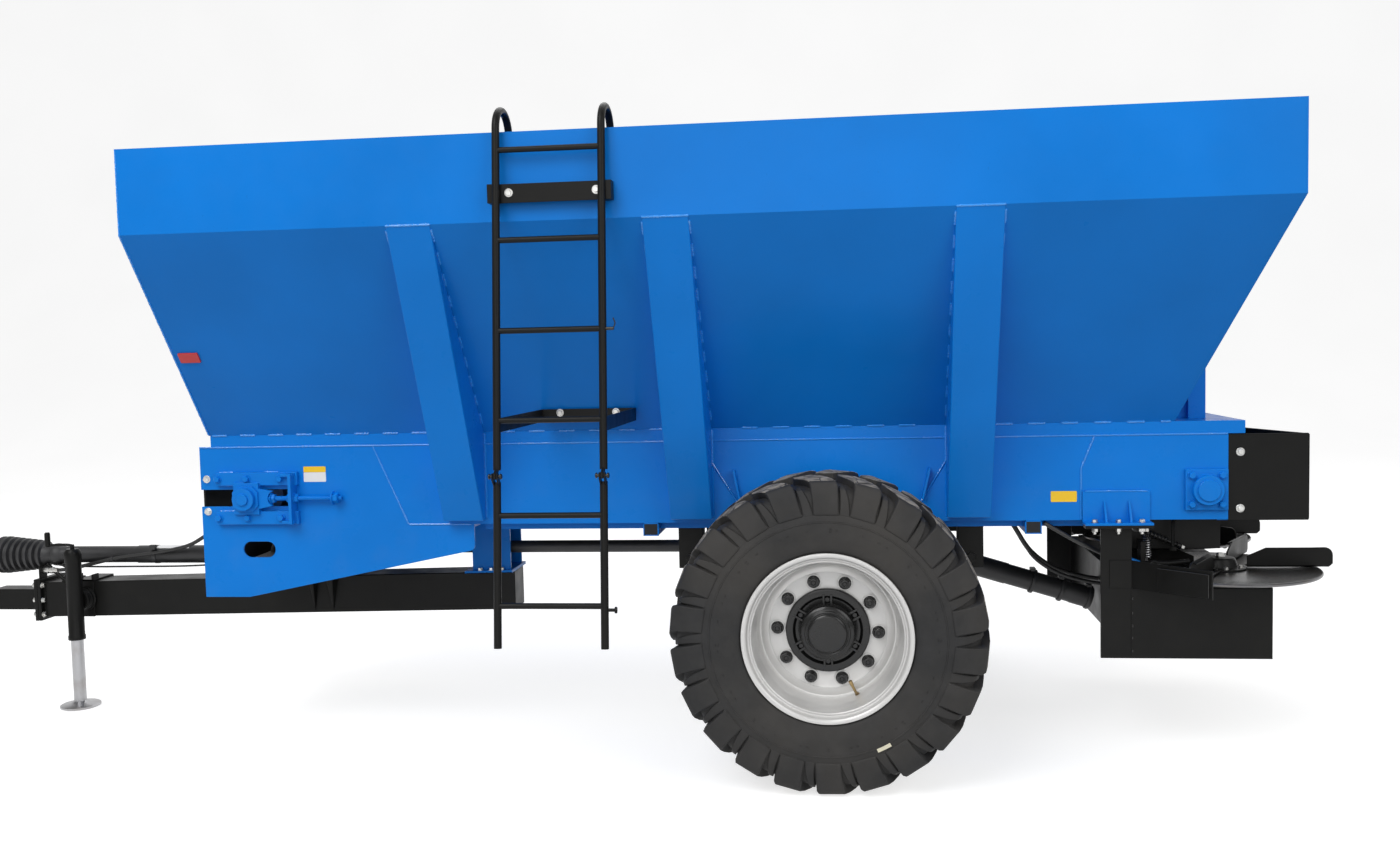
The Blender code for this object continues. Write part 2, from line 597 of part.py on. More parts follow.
def jack():
    """Parking jack on the drawbar boss, its leg down on the ground."""
    y = -(JACK_BOSS_END + GAP + JACK_TUBE)
    low, high = GROUND + 0.29, GROUND + 0.68
    tube = rod((JACK_X, y, low), (JACK_X, y, high), JACK_TUBE, 24)
    bore = rod((JACK_X, y, low - 0.1), (JACK_X, y, high - 0.01), JACK_BORE, 24)
    node("jack_tube", BLACK, [tube], [bore], rounded=True)
    leg = rod((JACK_X, y, GROUND + 0.005), (JACK_X, y, low + 0.10), JACK_LEG, 24)
    foot = rod((JACK_X, y, GROUND), (JACK_X, y, GROUND + 0.012), JACK_FOOT, 24)
    node("jack_leg", STEEL, [leg, foot], origin=(JACK_X, y, GROUND), rounded=True)


# ---- running gear ----------------------------------------------------------------------------------
def axle():
    """Square axle with a spindle at each end."""
    half = AXLE_SIZE / 2
    solids = [block((-half, half), (-AXLE_HALF, AXLE_HALF), (AXLE_Z - half, AXLE_Z + half))]
    for side in SIDES.values():
        solids.append(rod((0, side * (AXLE_HALF - 0.02), AXLE_Z), (0, side * (TRACK_HALF + 0.03), AXLE_Z),
                          SPINDLE_RADIUS, 32))
    node("axle", BLACK, solids)


def suspension(name, side):
    """Leaf spring on the axle with its two hangers below the rail."""
    middle = CHASSIS_HALF - 0.12
    seat = AXLE_Z + AXLE_SIZE / 2 + GAP
    span = 0.51
    bow = [(span * (i / 5 - 1), 0.09 * (i / 5 - 1) ** 2) for i in range(11)]
    outline = [(x, seat + z) for x, z in bow] + [(x, seat + z + 0.035) for x, z in reversed(bow)]
    solids = [prism(outline, side * (middle - 0.035), side * (middle + 0.035))]
    for x in (-span, span):
        solids.append(side_block(side, (x - 0.045, x + 0.045), (middle - 0.04, middle + 0.04),
                                 (seat + 0.08, CHASSIS_LOW - GAP)))
    node(name, BLACK, solids)


def wheel(side_name, side):
    """Steel rim with its hub, and the tyre."""
    centre = (0, side * TRACK_HALF, AXLE_Z)
    axis = (0, side, 0)
    lip = (0.1703, 0.180)
    bore = SPINDLE_RADIUS + GAP
    inner = RIM_RADIUS - 0.0107
    rim = [(RIM_FLANGE, lip[1]), (RIM_FLANGE, lip[0]), (RIM_RADIUS, lip[0]), (RIM_RADIUS, -lip[0]),
           (RIM_FLANGE, -lip[0]), (RIM_FLANGE, -lip[1]), (inner, -lip[1]), (inner, -0.005), (0.235, 0.018),
           (0.11, 0.018), (0.11, -0.20), (bore, -0.20), (bore, 0.035), (0, 0.035), (0, 0.105),
           (0.075, 0.105), (0.09, 0.09), (0.09, 0.045), (0.14, 0.045), (0.14, 0.030), (0.235, 0.030),
           (inner, 0.008), (inner, lip[1])]
    node(f"rim_{side_name}", SILVER, [lathe(rim, centre, axis, 48)], origin=centre, rounded=True)
    half = TYRE_WIDTH / 2
    bead = lip[0] - GAP
    seat = RIM_RADIUS + GAP
    side_wall = [(seat, bead), (RIM_FLANGE + 0.005, bead), (0.33, half - 0.012), (0.40, half),
                 (0.465, half - 0.006), (TYRE_RADIUS - 0.020, half - 0.016), (TYRE_RADIUS, half - 0.045)]
    tyre = side_wall + [(radius, -along) for radius, along in reversed(side_wall)]
    node(f"tyre_{side_name}", RUBBER, [lathe(tyre, centre, axis, 48)], origin=centre, rounded=True)


# ---- belt floor ------------------------------------------------------------------------------------
def conveyor():
    """Endless belt, its two rollers and the slide floor that carries its upper run."""
    outer = ROLLER_RADIUS + BELT_THICK
    ends = (TAIL_ROLLER_X, BELT_Z), (DRIVE_ROLLER_X, BELT_Z)

    def loop(radius):
        return arc(ends[0], radius, 90, 270, 12) + arc(ends[1], radius, -90, 90, 12)

    node("conveyor_belt", BELT, [prism(loop(outer), -BELT_HALF, BELT_HALF)],
         [prism(loop(ROLLER_RADIUS + GAP), -1, 1)], rounded=True)
    for name, x, reach in (("tail_roller", TAIL_ROLLER_X, TAIL_SHAFT_END),
                           ("drive_roller", DRIVE_ROLLER_X, DRIVE_SHAFT_END)):
        drum = [(0, -reach), (SHAFT_RADIUS, -reach), (SHAFT_RADIUS, -ROLLER_HALF),
                (ROLLER_RADIUS, -ROLLER_HALF), (ROLLER_RADIUS, ROLLER_HALF), (SHAFT_RADIUS, ROLLER_HALF),
                (SHAFT_RADIUS, reach), (0, reach)]
        node(name, STEEL, [lathe(drum, (x, 0, BELT_Z), (0, 1, 0), 24)], rounded=True)
    top = BELT_Z + ROLLER_RADIUS
    reach = CHASSIS_HALF - WEB - GAP
    floor = block((TAIL_ROLLER_X + 0.13, DRIVE_ROLLER_X - 0.12), (-reach, reach), (top - FLOOR_THICK, top))
    node("conveyor_floor", STEEL, [floor])


def take_up(name, side):
    """Sliding bearing of the tail roller between its guide bars, with the tension screw."""
    face = CHASSIS_HALF + GAP
    solids = [side_block(side, GUIDE_BAR, (face, face + 0.020),
                         (BELT_Z + 0.049, BELT_Z + 0.0985)),
              side_block(side, GUIDE_BAR, (face, face + 0.020),
                         (BELT_Z - 0.099, BELT_Z - 0.049)),
              side_block(side, (TAIL_ROLLER_X - 0.05, TAIL_ROLLER_X + 0.05), (face, face + 0.032),
                         (BELT_Z - 0.06, BELT_Z + 0.06)),
              rod((TAIL_ROLLER_X, side * face, BELT_Z),
                  (TAIL_ROLLER_X, side * (face + 0.062), BELT_Z), 0.042, 24),
              side_block(side, (SLOT_REAR - 0.006, SLOT_REAR + 0.006), (face, face + 0.055),
                         (BELT_Z - 0.095, BELT_Z + 0.095)),
              rod((TAIL_ROLLER_X + 0.04, side * (face + 0.022), BELT_Z),
                  (SCREW_REAR, side * (face + 0.022), BELT_Z), 0.009, 10)]
    bore = rod((TAIL_ROLLER_X, side * (face - 0.05), BELT_Z),
               (TAIL_ROLLER_X, side * (TAIL_SHAFT_END + GAP), BELT_Z), SHAFT_RADIUS + GAP, 24)
    node(name, BLUE, solids, [bore])


def drive_bearing(name, side):
    """Square four-bolt bearing of the drive roller."""
    face = CHASSIS_HALF + GAP
    half = BEARING_HALF
    plate = side_block(side, (DRIVE_ROLLER_X - half, DRIVE_ROLLER_X + half), (face, face + 0.014),
                       (BELT_Z - half, BELT_Z + half))
    boss = rod((DRIVE_ROLLER_X, side * (face + 0.005), BELT_Z),
               (DRIVE_ROLLER_X, side * (face + 0.042), BELT_Z), 0.052, 24)
    bore = rod((DRIVE_ROLLER_X, side * (face - 0.05), BELT_Z),
               (DRIVE_ROLLER_X, side * (DRIVE_SHAFT_END + GAP), BELT_Z), SHAFT_RADIUS + GAP, 24)
    node(name, BLUE, [plate, boss], [bore])


# ---- power take-off and driveline ------------------------------------------------------------------
def driveline():
    """Turning input shaft in its guard, then the guarded shafts to the spreading unit."""
    inner = PTO_GUARD - 0.005
    rear = CROSSMEMBER_X[0] - 0.045 - GAP
    front = PTO_GUARD_FRONT
    guard = [(PTO_GUARD, rear), (PTO_GUARD, front + 0.03), (0.080, front - 0.02), (0.080, front - 0.12),
             (0.076, front - 0.12), (0.076, front - 0.02), (inner, front + 0.03), (inner, rear)]
    node("pto_guard", PLASTIC, [lathe(guard, (0, 0, PTO_Z), (1, 0, 0), 24)], rounded=True)
    end = CROSSMEMBER_X[0] + 0.035
    shaft = rod((front - 0.10, 0, PTO_Z), (end, 0, PTO_Z), PTO_SHAFT, 24)
    yoke = rod((PTO_FRONT + 0.06, 0, PTO_Z), (front - 0.07, 0, PTO_Z), 0.045, 24)
    nose = rod((PTO_FRONT, 0, PTO_Z), (PTO_FRONT + 0.07, 0, PTO_Z), 0.036, 24)
    socket = rod((PTO_FRONT - 0.1, 0, PTO_Z), (PTO_FRONT + 0.05, 0, PTO_Z), 0.0175, 24)
    node("pto_shaft", STEEL, [shaft, yoke, nose], [socket], origin=(front, 0, PTO_Z), rounded=True)

    start = CROSSMEMBER_X[1] + GAP
    slope = atan2(MID_SHAFT_Z - 0.4135, LEG_X[1] - MID_JOINT_X)
    finish_x = LEG_X[1] - GAP - REAR_SHAFT_RADIUS * sin(slope)
    finish = (finish_x, 0, MID_SHAFT_Z - (finish_x - MID_JOINT_X) * tan(slope))
    mid = rod((start, 0, MID_SHAFT_Z), (MID_JOINT_X, 0, MID_SHAFT_Z), MID_SHAFT_RADIUS, 20)
    joint = rod((MID_JOINT_X - 0.06, 0, MID_SHAFT_Z), (MID_JOINT_X + 0.02, 0, MID_SHAFT_Z), 0.048, 20)
    tail = rod((MID_JOINT_X - 0.01, 0, MID_SHAFT_Z), finish, REAR_SHAFT_RADIUS, 20)
    node("driveline_guard", PLASTIC, [mid, joint, tail])


def hose():
    """Hydraulic hose along the guard to the coupler parked in its holder."""
    node("hydraulic_hose", PLASTIC, [sweep(smooth(HOSE_ROUTE, 40), HOSE_RADIUS, 8)], rounded=True)
    end = HOSE_ROUTE[-1]
    holder_face = DRAWBAR_FRONT - 0.010 + 0.008 + GAP
    coupler = rod((holder_face, end[1], end[2]), (end[0] - GAP, end[1], end[2]), 0.014, 12)
    node("hose_coupler", STEEL, [coupler], rounded=True)


# ---- spreading unit --------------------------------------------------------------------------------
def spinner_mount(side_name, side):
    """Angle bracket on the rail, and the leg plate with its side wing."""
    face = CHASSIS_HALF + GAP
    solids = [side_block(side, BRACKET_X, (face, face + 0.008), (LEG_TOP + GAP, LEG_TOP + BRACKET_HEIGHT)),
              side_block(side, BRACKET_X, (face, BRACKET_OUT), (LEG_TOP + GAP, LEG_TOP + 0.009))]
    for x in (BRACKET_X[0] + 0.070, BRACKET_X[0] + 0.154):
        corner = [(face + 0.004, LEG_TOP + BRACKET_HEIGHT - 0.02), (face + 0.004, LEG_TOP + 0.004),
                  (BRACKET_OUT - 0.015, LEG_TOP + 0.004)]
        solids.append(prism([(side * y, z) for y, z in corner], x, x + 0.008, "X"))
    node(f"spinner_bracket_{side_name}", BLUE, solids)

    front, back = LEG_X
    leg = prism([(front, LEG_TOP), (back, LEG_TOP), (back, HOUSING_Z[1]), (HOUSING_REAR, HOUSING_Z[1]),
                 (HOUSING_REAR, HOUSING_Z[0]), (front, HOUSING_Z[0])], side * LEG_Y[0], side * LEG_Y[1])
    line = [(front + 0.03, LEG_Y[1]), (back, LEG_Y[1]), (back + 0.042, LEG_Y[1] + 0.055), WING_TIP]
    outer = offset_line(line, -0.004)
    inner = offset_line(line, 0.001)
    wing = prism([(x, side * y) for x, y in outer + inner[::-1]], HOUSING_Z[1] + 0.002, WING_TOP, "Z")
    flange = side_block(side, BRACKET_X, (LEG_Y[0], BRACKET_OUT), (LEG_TOP - FLANGE_PLATE, LEG_TOP))
    node(f"spinner_leg_{side_name}", BLACK, [leg, flange, wing])


def spinner_housing():
    """Cross box, open below, over the gearbox that turns the discs."""
    front, reach = LEG_X[1], LEG_Y[0] - GAP
    low, high = HOUSING_Z
    shell = block((front, HOUSING_REAR), (-reach, reach), HOUSING_Z)
    gearbox = block((front + 0.004, front + 0.29), (-GEARBOX_HALF, GEARBOX_HALF), (low + 0.05, high - 0.004))
    hollow = block((front + HOUSING_WALL, HOUSING_REAR - HOUSING_WALL),
                   (-reach + HOUSING_WALL, reach - HOUSING_WALL), (low - 0.1, high - HOUSING_WALL))
    shell_node = node("spinner_housing", BLACK, [shell], [hollow])
    guide = link(gearbox, "spinner_gearbox", (0, 0, 0))
    guide.hide_render = True
    guide.display_type = "WIRE"
    joined = shell_node.modifiers.new("gearbox", "BOOLEAN")
    joined.operation = "UNION"
    joined.solver = "EXACT"
    joined.object = guide


def disc(side_name, side):
    """Spreading disc with its vanes, one of them pointing rearward."""
    centre = (DISC_X, side * DISC_Y, DISC_Z)
    top = DISC_Z + DISC_THICK
    hub_low = HOUSING_Z[1] + GAP - DISC_Z
    profile = [(0, hub_low), (0.045, hub_low), (0.045, 0), (DISC_RADIUS, 0), (DISC_RADIUS, DISC_THICK),
               (0.060, DISC_THICK), (0.050, 0.045), (0, 0.050)]
    solids = [lathe(profile, centre, (0, 0, 1), 40)]
    for angle in VANE_ANGLES:
        outline = [(0.045, top - 0.004), (VANE_RADIUS, top - 0.004), (VANE_RADIUS, top + VANE_HEIGHT - 0.03),
                   (VANE_RADIUS - 0.03, top + VANE_HEIGHT), (0.045, top + 0.03)]
        vane = prism(outline, -VANE_THICK / 2, VANE_THICK / 2)
        turn = Matrix.Rotation(-side * radians(angle), 4, "Z")
        vane.transform(Matrix.Translation((DISC_X, side * DISC_Y, 0)) @ turn)
        solids.append(vane)
    node(f"spinner_disc_{side_name}", STEEL, solids, origin=centre)


def deflector():
    """Black hood behind the belt: two side plates and the V splitter."""
    outer, inner = CHASSIS_HALF, CHASSIS_HALF - 0.006
    front = CHASSIS_REAR + GAP
    outline = [(front, outer), (DEFLECTOR_REAR, outer), (DEFLECTOR_APEX, 0), (DEFLECTOR_REAR, -outer),
               (front, -outer), (front, -inner), (DEFLECTOR_REAR - 0.012, -inner),
               (DEFLECTOR_APEX - 0.012, 0), (DEFLECTOR_REAR - 0.012, inner), (front, inner)]
    node("rear_deflector", BLACK, [prism(outline, DEFLECTOR_Z[0], DEFLECTOR_Z[1], "Z")])
    high = CHASSIS_LOW - GAP
    front = CHUTE_X[0]
    reach = CHASSIS_HALF - 0.064
    sheet = [(front, high), (front + SHEET, high),
             (front + SHEET + 0.06, CHUTE_LOW_Z), (front + 0.06, CHUTE_LOW_Z)]
    solids = [prism(sheet, 0.003 - reach, reach - 0.003)]
    for side in SIDES.values():
        solids.append(side_block(side, CHUTE_X, (reach - SHEET, reach), (CHUTE_LOW_Z, high)))
    node("drop_chute", BLACK, solids)


# ---- rear gate -------------------------------------------------------------------------------------
def rear_gate():
    """Deck with the guide posts, and the gate that slides up between them."""
    reach = CHASSIS_HALF - SILL_WIDTH - GAP
    behind = SHEET + 2 * GAP
    deck_front = rear_x(SILL_TOP) + behind
    deck = block((deck_front, SILL_REAR), (-reach, reach), (SILL_TOP - 0.008, SILL_TOP))
    slope = (HOPPER_REAR - rear_x(SILL_TOP)) / (BAND_Z - SILL_TOP)

    def under_wall(x):
        return SILL_TOP + (x - deck_front) / slope

    solids = [deck]
    cuts = [block((GATE_X - GUIDE_HALF, GATE_X + GUIDE_HALF), (-GROOVE_END, GROOVE_END), (CHASSIS_TOP, BAND_Z))]
    for side in SIDES.values():
        post = [(POST_X[0], SILL_TOP - 0.004), (POST_X[1], SILL_TOP - 0.004),
                (POST_X[1], under_wall(POST_X[1])), (POST_X[0], under_wall(POST_X[0]))]
        solids.append(prism(post, side * POST_Y[0], side * POST_Y[1]))
    node("gate_frame", BLUE, solids, cuts)
    half = GATE_THICK / 2
    inner = POST_Y[0]
    plate = block((GATE_X - half, GATE_X + half), (-GATE_HALF, GATE_HALF),
                  (GATE_LOW_Z, GATE_LOW_Z + GATE_HEIGHT))
    solids = [plate]
    for side in SIDES.values():
        solids.append(side_block(side, (GATE_X - GUIDE_HALF + SLIDE_GAP, GATE_X + GUIDE_HALF - SLIDE_GAP),
                                 (inner + 0.006, GROOVE_END - SLIDE_GAP), (GATE_LOW_Z + 0.15, GATE_LOW_Z + 0.25)))
    handle = block((GATE_X, POST_X[1] - 0.005), (-0.06, 0.06), (GATE_LOW_Z + 0.24, GATE_LOW_Z + GATE_HEIGHT))
    solids.append(handle)
    node("rear_gate", BLUE, solids, origin=(GATE_X, 0, GATE_LOW_Z))


# ---- ladder ----------------------------------------------------------------------------------------
def ladder():
    """Fixed upper ladder hooked over the hopper's edge, and the lower part that folds up."""
    hook_y = ladder_y(HOPPER_TOP)
    split = HINGE_Z + 0.017
    pin_y = ladder_y(HINGE_Z) - HINGE_OFFSET
    solids = []
    for x in LADDER_X:
        bend = [(hook_y + HOOK_REACH * (1 + y), HOPPER_TOP + HOOK_RISE * z) for y, z in arc((0, 0), 1, 180, 0, 10)]
        route = [(ladder_y(split), split)] + bend + [(hook_y + 2 * HOOK_REACH, HOPPER_TOP - 0.05)]
        solids.append(sweep([(x, y, z) for y, z in route], RAIL_RADIUS, 12))
    for z in RUNGS_UPPER:
        solids.append(rod((LADDER_X[0], ladder_y(z), z), (LADDER_X[1], ladder_y(z), z), RUNG_RADIUS, 10))
    for x in LADDER_X:
        solids.append(block((x - 0.018, x + 0.018), (ladder_y(1.95), -HOPPER_HALF - GAP), (1.92, 1.98)))
        arm = [(ladder_y(1.22), 1.215), (ladder_y(1.22), 1.239), (-slope_y(1.239) - 2 * GAP, 1.239),
               (-slope_y(1.215) - 2 * GAP, 1.215)]
        solids.append(prism(arm, x - 0.006, x + 0.006, "X"))
        lug = [(ladder_y(split) + 0.008, split + 0.02), (pin_y - 0.009, split - 0.008),
               (pin_y - 0.009, HINGE_Z - 0.009), (pin_y + 0.009, HINGE_Z - 0.009),
               (ladder_y(split) + 0.008, split - 0.004)]
        solids.append(prism(lug, x - 0.004, x + 0.004, "X"))
        solids.append(rod((x - 0.016, pin_y, HINGE_Z), (x + 0.016, pin_y, HINGE_Z), 0.005, 12))
    node("ladder_upper", BLACK, solids)

    solids = []
    cuts = []
    low_split = HINGE_Z - 0.020
    for x in LADDER_X:
        solids.append(sweep([(x, ladder_y(low_split), low_split), (x, ladder_y(LADDER_BOTTOM), LADDER_BOTTOM)],
                            RAIL_RADIUS, 12))
    for z in RUNGS_LOWER:
        solids.append(rod((LADDER_X[0], ladder_y(z), z), (LADDER_X[1], ladder_y(z), z), RUNG_RADIUS, 10))
    for x in LADDER_X:
        for offset in (-0.010, 0.006):
            lug = [(pin_y - 0.010, HINGE_Z + 0.010), (pin_y + 0.006, HINGE_Z + 0.010),
                   (ladder_y(low_split) + 0.008, low_split - 0.005),
                   (ladder_y(low_split) + 0.008, low_split - 0.03), (pin_y - 0.010, HINGE_Z - 0.010)]
            solids.append(prism(lug, x + offset, x + offset + 0.004, "X"))
        cuts.append(rod((x - 0.03, pin_y, HINGE_Z), (x + 0.03, pin_y, HINGE_Z), 0.005 + GAP, 12))
        cuts.append(block((x - 0.0048, x + 0.0048), (pin_y - 0.03, pin_y + 0.04), (low_split, HINGE_Z + 0.03)))
    node("ladder_lower", BLACK, solids, cuts, origin=(LADDER_X[0], pin_y, HINGE_Z))


def build():
    hopper_walls()
    for side_name, side in SIDES.items():
        hopper_side(f"hopper_side_{side_name}", side)
        for number, centre in enumerate(RIB_CENTRES):
            rib(f"rib_{side_name}_{number + 1}", side, number, centre)
        sill(f"sill_{side_name}", side)
        rail(f"chassis_rail_{side_name}", side)
        front_plate(f"front_plate_{side_name}", side)
        suspension(f"suspension_{side_name}", side)
        wheel(side_name, side)
        take_up(f"take_up_{side_name}", side)
        drive_bearing(f"drive_bearing_{side_name}", side)
        spinner_mount(side_name, side)
        disc(side_name, side)
    frame_crossings()
    drawbar()
    jack()
    axle()
    conveyor()
    driveline()
    hose()
    spinner_housing()
    deflector()
    rear_gate()
    ladder()


build()
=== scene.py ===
"""Looks of a trailed manure spreader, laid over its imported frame."""
import json
from math import atan2, cos, pi, radians, sin, sqrt

import bmesh
import bpy
from bpy.props import FloatProperty, FloatVectorProperty, IntProperty, PointerProperty
from mathutils import Matrix, Vector


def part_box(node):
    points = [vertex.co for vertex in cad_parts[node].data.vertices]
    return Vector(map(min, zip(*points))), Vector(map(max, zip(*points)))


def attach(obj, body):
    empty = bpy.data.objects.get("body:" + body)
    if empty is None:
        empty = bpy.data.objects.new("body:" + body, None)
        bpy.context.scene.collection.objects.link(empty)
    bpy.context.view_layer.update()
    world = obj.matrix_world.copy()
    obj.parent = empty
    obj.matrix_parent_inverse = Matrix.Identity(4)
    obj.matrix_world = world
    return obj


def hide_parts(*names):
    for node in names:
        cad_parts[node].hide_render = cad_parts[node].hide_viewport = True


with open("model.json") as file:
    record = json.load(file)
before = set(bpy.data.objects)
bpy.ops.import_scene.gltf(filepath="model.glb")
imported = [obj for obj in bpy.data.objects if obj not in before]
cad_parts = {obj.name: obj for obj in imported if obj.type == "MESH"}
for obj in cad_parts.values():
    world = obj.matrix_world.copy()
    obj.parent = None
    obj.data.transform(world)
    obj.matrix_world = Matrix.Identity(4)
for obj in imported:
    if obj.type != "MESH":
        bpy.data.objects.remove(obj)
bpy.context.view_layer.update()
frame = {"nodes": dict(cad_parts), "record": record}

bl_info = {
    "name": "Manure spreader looks",
    "version": (1, 0, 0),
    "blender": (4, 5, 0),
    "location": "View3D > Sidebar > Spreader",
    "description": "Builds the paint, tyres, bolts, welds, ladder and stage of a trailed manure spreader",
    "category": "Object",
}

SIDES = {"left": -1, "right": 1}
BODY_OF = {node: body for body, nodes in frame["record"]["behaviour"]["bodies"].items() for node in nodes}
SLOT_OF = {row["node"]: row["material_slot"] for row in frame["record"]["subparts"]}
FINISH_OF_SLOT = {"blue_paint": "blue", "black_paint": "black", "silver_paint": "silver",
                  "bare_steel": "steel", "tyre_rubber": "rubber", "belt_rubber": "belt",
                  "guard_plastic": "plastic"}
SLOT_OF_FINISH = {finish: slot for slot, finish in FINISH_OF_SLOT.items()}
SLOT_OF_FINISH.update({"zinc": "bare_steel", "disc": "bare_steel", "bead": "blue_paint",
                       "gloss": "black_paint", "hose": "belt_rubber", "hopper": "blue_paint"})
FINISHES = {}

# Machine axes: origin on the ground line below the axle's middle, X rearward, -Y the left side.
AXLE_HEIGHT = 0.50
_low, _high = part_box("axle")
DATUM = (Vector(_low) + Vector(_high)) / 2 - Vector((0, 0, AXLE_HEIGHT))
ORIGIN = (0, 0, 0)
UP, DOWN = (0, 0, 1), (0, 0, -1)
REAR, FRONT = (1, 0, 0), (-1, 0, 0)
RIGHT, LEFT = (0, 1, 0), (0, -1, 0)

WALL = 0.57                      # outer face of the chassis side walls
RIB_X = (-1.335, -0.489, 0.494)  # middles of the hopper ribs
ROLLER_Z = 0.917                 # middle of the belt rollers
REAR_ROLLER_X = 1.304
DISC_X, DISC_Y, DISC_Z = 1.40, 0.40, 0.605
DRIVE_Z = 0.637                  # driveline under the belt
GUARD_Z = 0.61                   # power take-off guard over the drawbar
JACK_X = -3.199
TYRE_HALF = 0.1925               # half the casing's width
LUG_LEAN = -0.15                 # lean of a lug over the crown, in radians
USUAL_BOLT = 0.020               # widths that the fastener settings scale
USUAL_WHEEL_NUT = 0.0312


def cad(node):
    """Lowest and highest corner of a CAD node in machine axes."""
    low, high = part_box(node)
    return Vector(low) - DATUM, Vector(high) - DATUM


# ---- settings --------------------------------------------------------------------------------------
def colour(name, value, about):
    return FloatVectorProperty(name=name, subtype="COLOR", size=3, min=0, max=1, default=value,
                               description=about)


def metres(name, value, about):
    return FloatProperty(name=name, unit="LENGTH", default=value, min=0, precision=4, description=about)


class SpreaderPaint(bpy.types.PropertyGroup):
    blue: colour("Blue paint", (0.003, 0.19, 0.66), "Hopper and chassis paint")
    black: colour("Black paint", (0.008, 0.008, 0.0076), "Drawbar and spreading unit paint")
    silver: colour("Wheel silver", (0.6, 0.595, 0.585), "Rim paint")
    rubber: colour("Tyre rubber", (0.0165, 0.0165, 0.017), "Tyre and tread")
    steel: colour("Bare steel", (0.42, 0.42, 0.43), "Shafts, rollers and discs")
    peel: FloatProperty(name="Orange peel", default=0.05, min=0, max=1,
                        description="Bump of the sprayed paint")
    dust: FloatProperty(name="Dust", default=0.06, min=0, max=1, description="Pale dust low on the paint")


class SpreaderTyre(bpy.types.PropertyGroup):
    lugs: IntProperty(name="Lugs", default=22, min=8, max=60, description="Shoulder lugs on each side")
    round_steps: IntProperty(name="Steps", default=168, min=48, max=256,
                             description="Facets round the casing")
    lug_edge: metres("Lug edge", 0.0035, "Rounding of a lug's edges")


class SpreaderFasteners(bpy.types.PropertyGroup):
    bolt: metres("Bolt", USUAL_BOLT, "Across the flats of the frame bolts")
    wheel_nut: metres("Wheel nut", USUAL_WHEEL_NUT, "Across the flats of the wheel nuts")


class SpreaderWelds(bpy.types.PropertyGroup):
    bead: metres("Bead", 0.004, "Radius of the hopper's weld beads")
    step: metres("Ripple", 0.006, "Distance between the bead's ripples")


class SpreaderStage(bpy.types.PropertyGroup):
    lens: FloatProperty(name="Lens", default=32.25, min=10, max=200, unit="CAMERA", description="Camera lens")
    key: FloatProperty(name="Key light", default=430, min=0, description="Power of the key light")
    fill: FloatProperty(name="Sky light", default=0.44, min=0, description="Strength of the even light")
    floor: FloatProperty(name="Floor glow", default=0.66, min=0, description="Own light of the pale floor")


SETTINGS = {"spreader_paint": SpreaderPaint, "spreader_tyre": SpreaderTyre,
            "spreader_fasteners": SpreaderFasteners, "spreader_welds": SpreaderWelds,
            "spreader_stage": SpreaderStage}


def setting(group):
    return getattr(bpy.context.scene, "spreader_" + group)


# ---- materials -------------------------------------------------------------------------------------
class Nodes:
    """Short way to wire a material."""

    def __init__(self, name):
        self.material = bpy.data.materials.new(name)
        self.material.use_nodes = True
        self.tree = self.material.node_tree
        self.shader = self.tree.nodes["Principled BSDF"]
        self.coords = self.tree.nodes.new("ShaderNodeTexCoord").outputs["Object"]

    def add(self, kind, **values):
        made = self.tree.nodes.new("ShaderNode" + kind)
        for key, value in values.items():
            if hasattr(made, key):
                setattr(made, key, value)
            else:
                made.inputs[key.replace("_", " ")].default_value = value
        return made

    def link(self, source, target):
        self.tree.links.new(source, target)

    def noise(self, scale, detail=4.0, stretch=None):
        """Noise value in object coordinates."""
        made = self.add("TexNoise", Scale=scale, Detail=detail)
        source = self.coords
        if stretch:
            mapping = self.add("Mapping", Scale=stretch)
            self.link(self.coords, mapping.inputs["Vector"])
            source = mapping.outputs["Vector"]
        self.link(source, made.inputs["Vector"])
        return made.outputs["Fac"]

    def ramp(self, value, low, high, start=0.0, end=1.0):
        """value remapped from start..end to low..high."""
        made = self.add("MapRange")
        for key, number in (("From Min", start), ("From Max", end), ("To Min", low), ("To Max", high)):
            made.inputs[key].default_value = number
        self.link(value, made.inputs["Value"])
        return made.outputs["Result"]

    def blend(self, share, first, second):
        """Colour mix; share is a socket, the colours are tuples or sockets."""
        made = self.add("Mix", data_type="RGBA")
        self.link(share, made.inputs[0])
        for socket, value in ((made.inputs[6], first), (made.inputs[7], second)):
            if isinstance(value, bpy.types.NodeSocket):
                self.link(value, socket)
            else:
                socket.default_value = (*value[:3], 1)
        return made.outputs[2]

    def bump(self, layers):
        """Chained bumps: (height socket, strength, distance)."""
        last = None
        for height, strength, distance in layers:
            made = self.add("Bump", Strength=strength, Distance=distance)
            self.link(height, made.inputs["Height"])
            if last:
                self.link(last, made.inputs["Normal"])
            last = made.outputs["Normal"]
        self.link(last, self.shader.inputs["Normal"])


def shade(value, factor):
    return tuple(min(1.0, channel * factor) for channel in value)


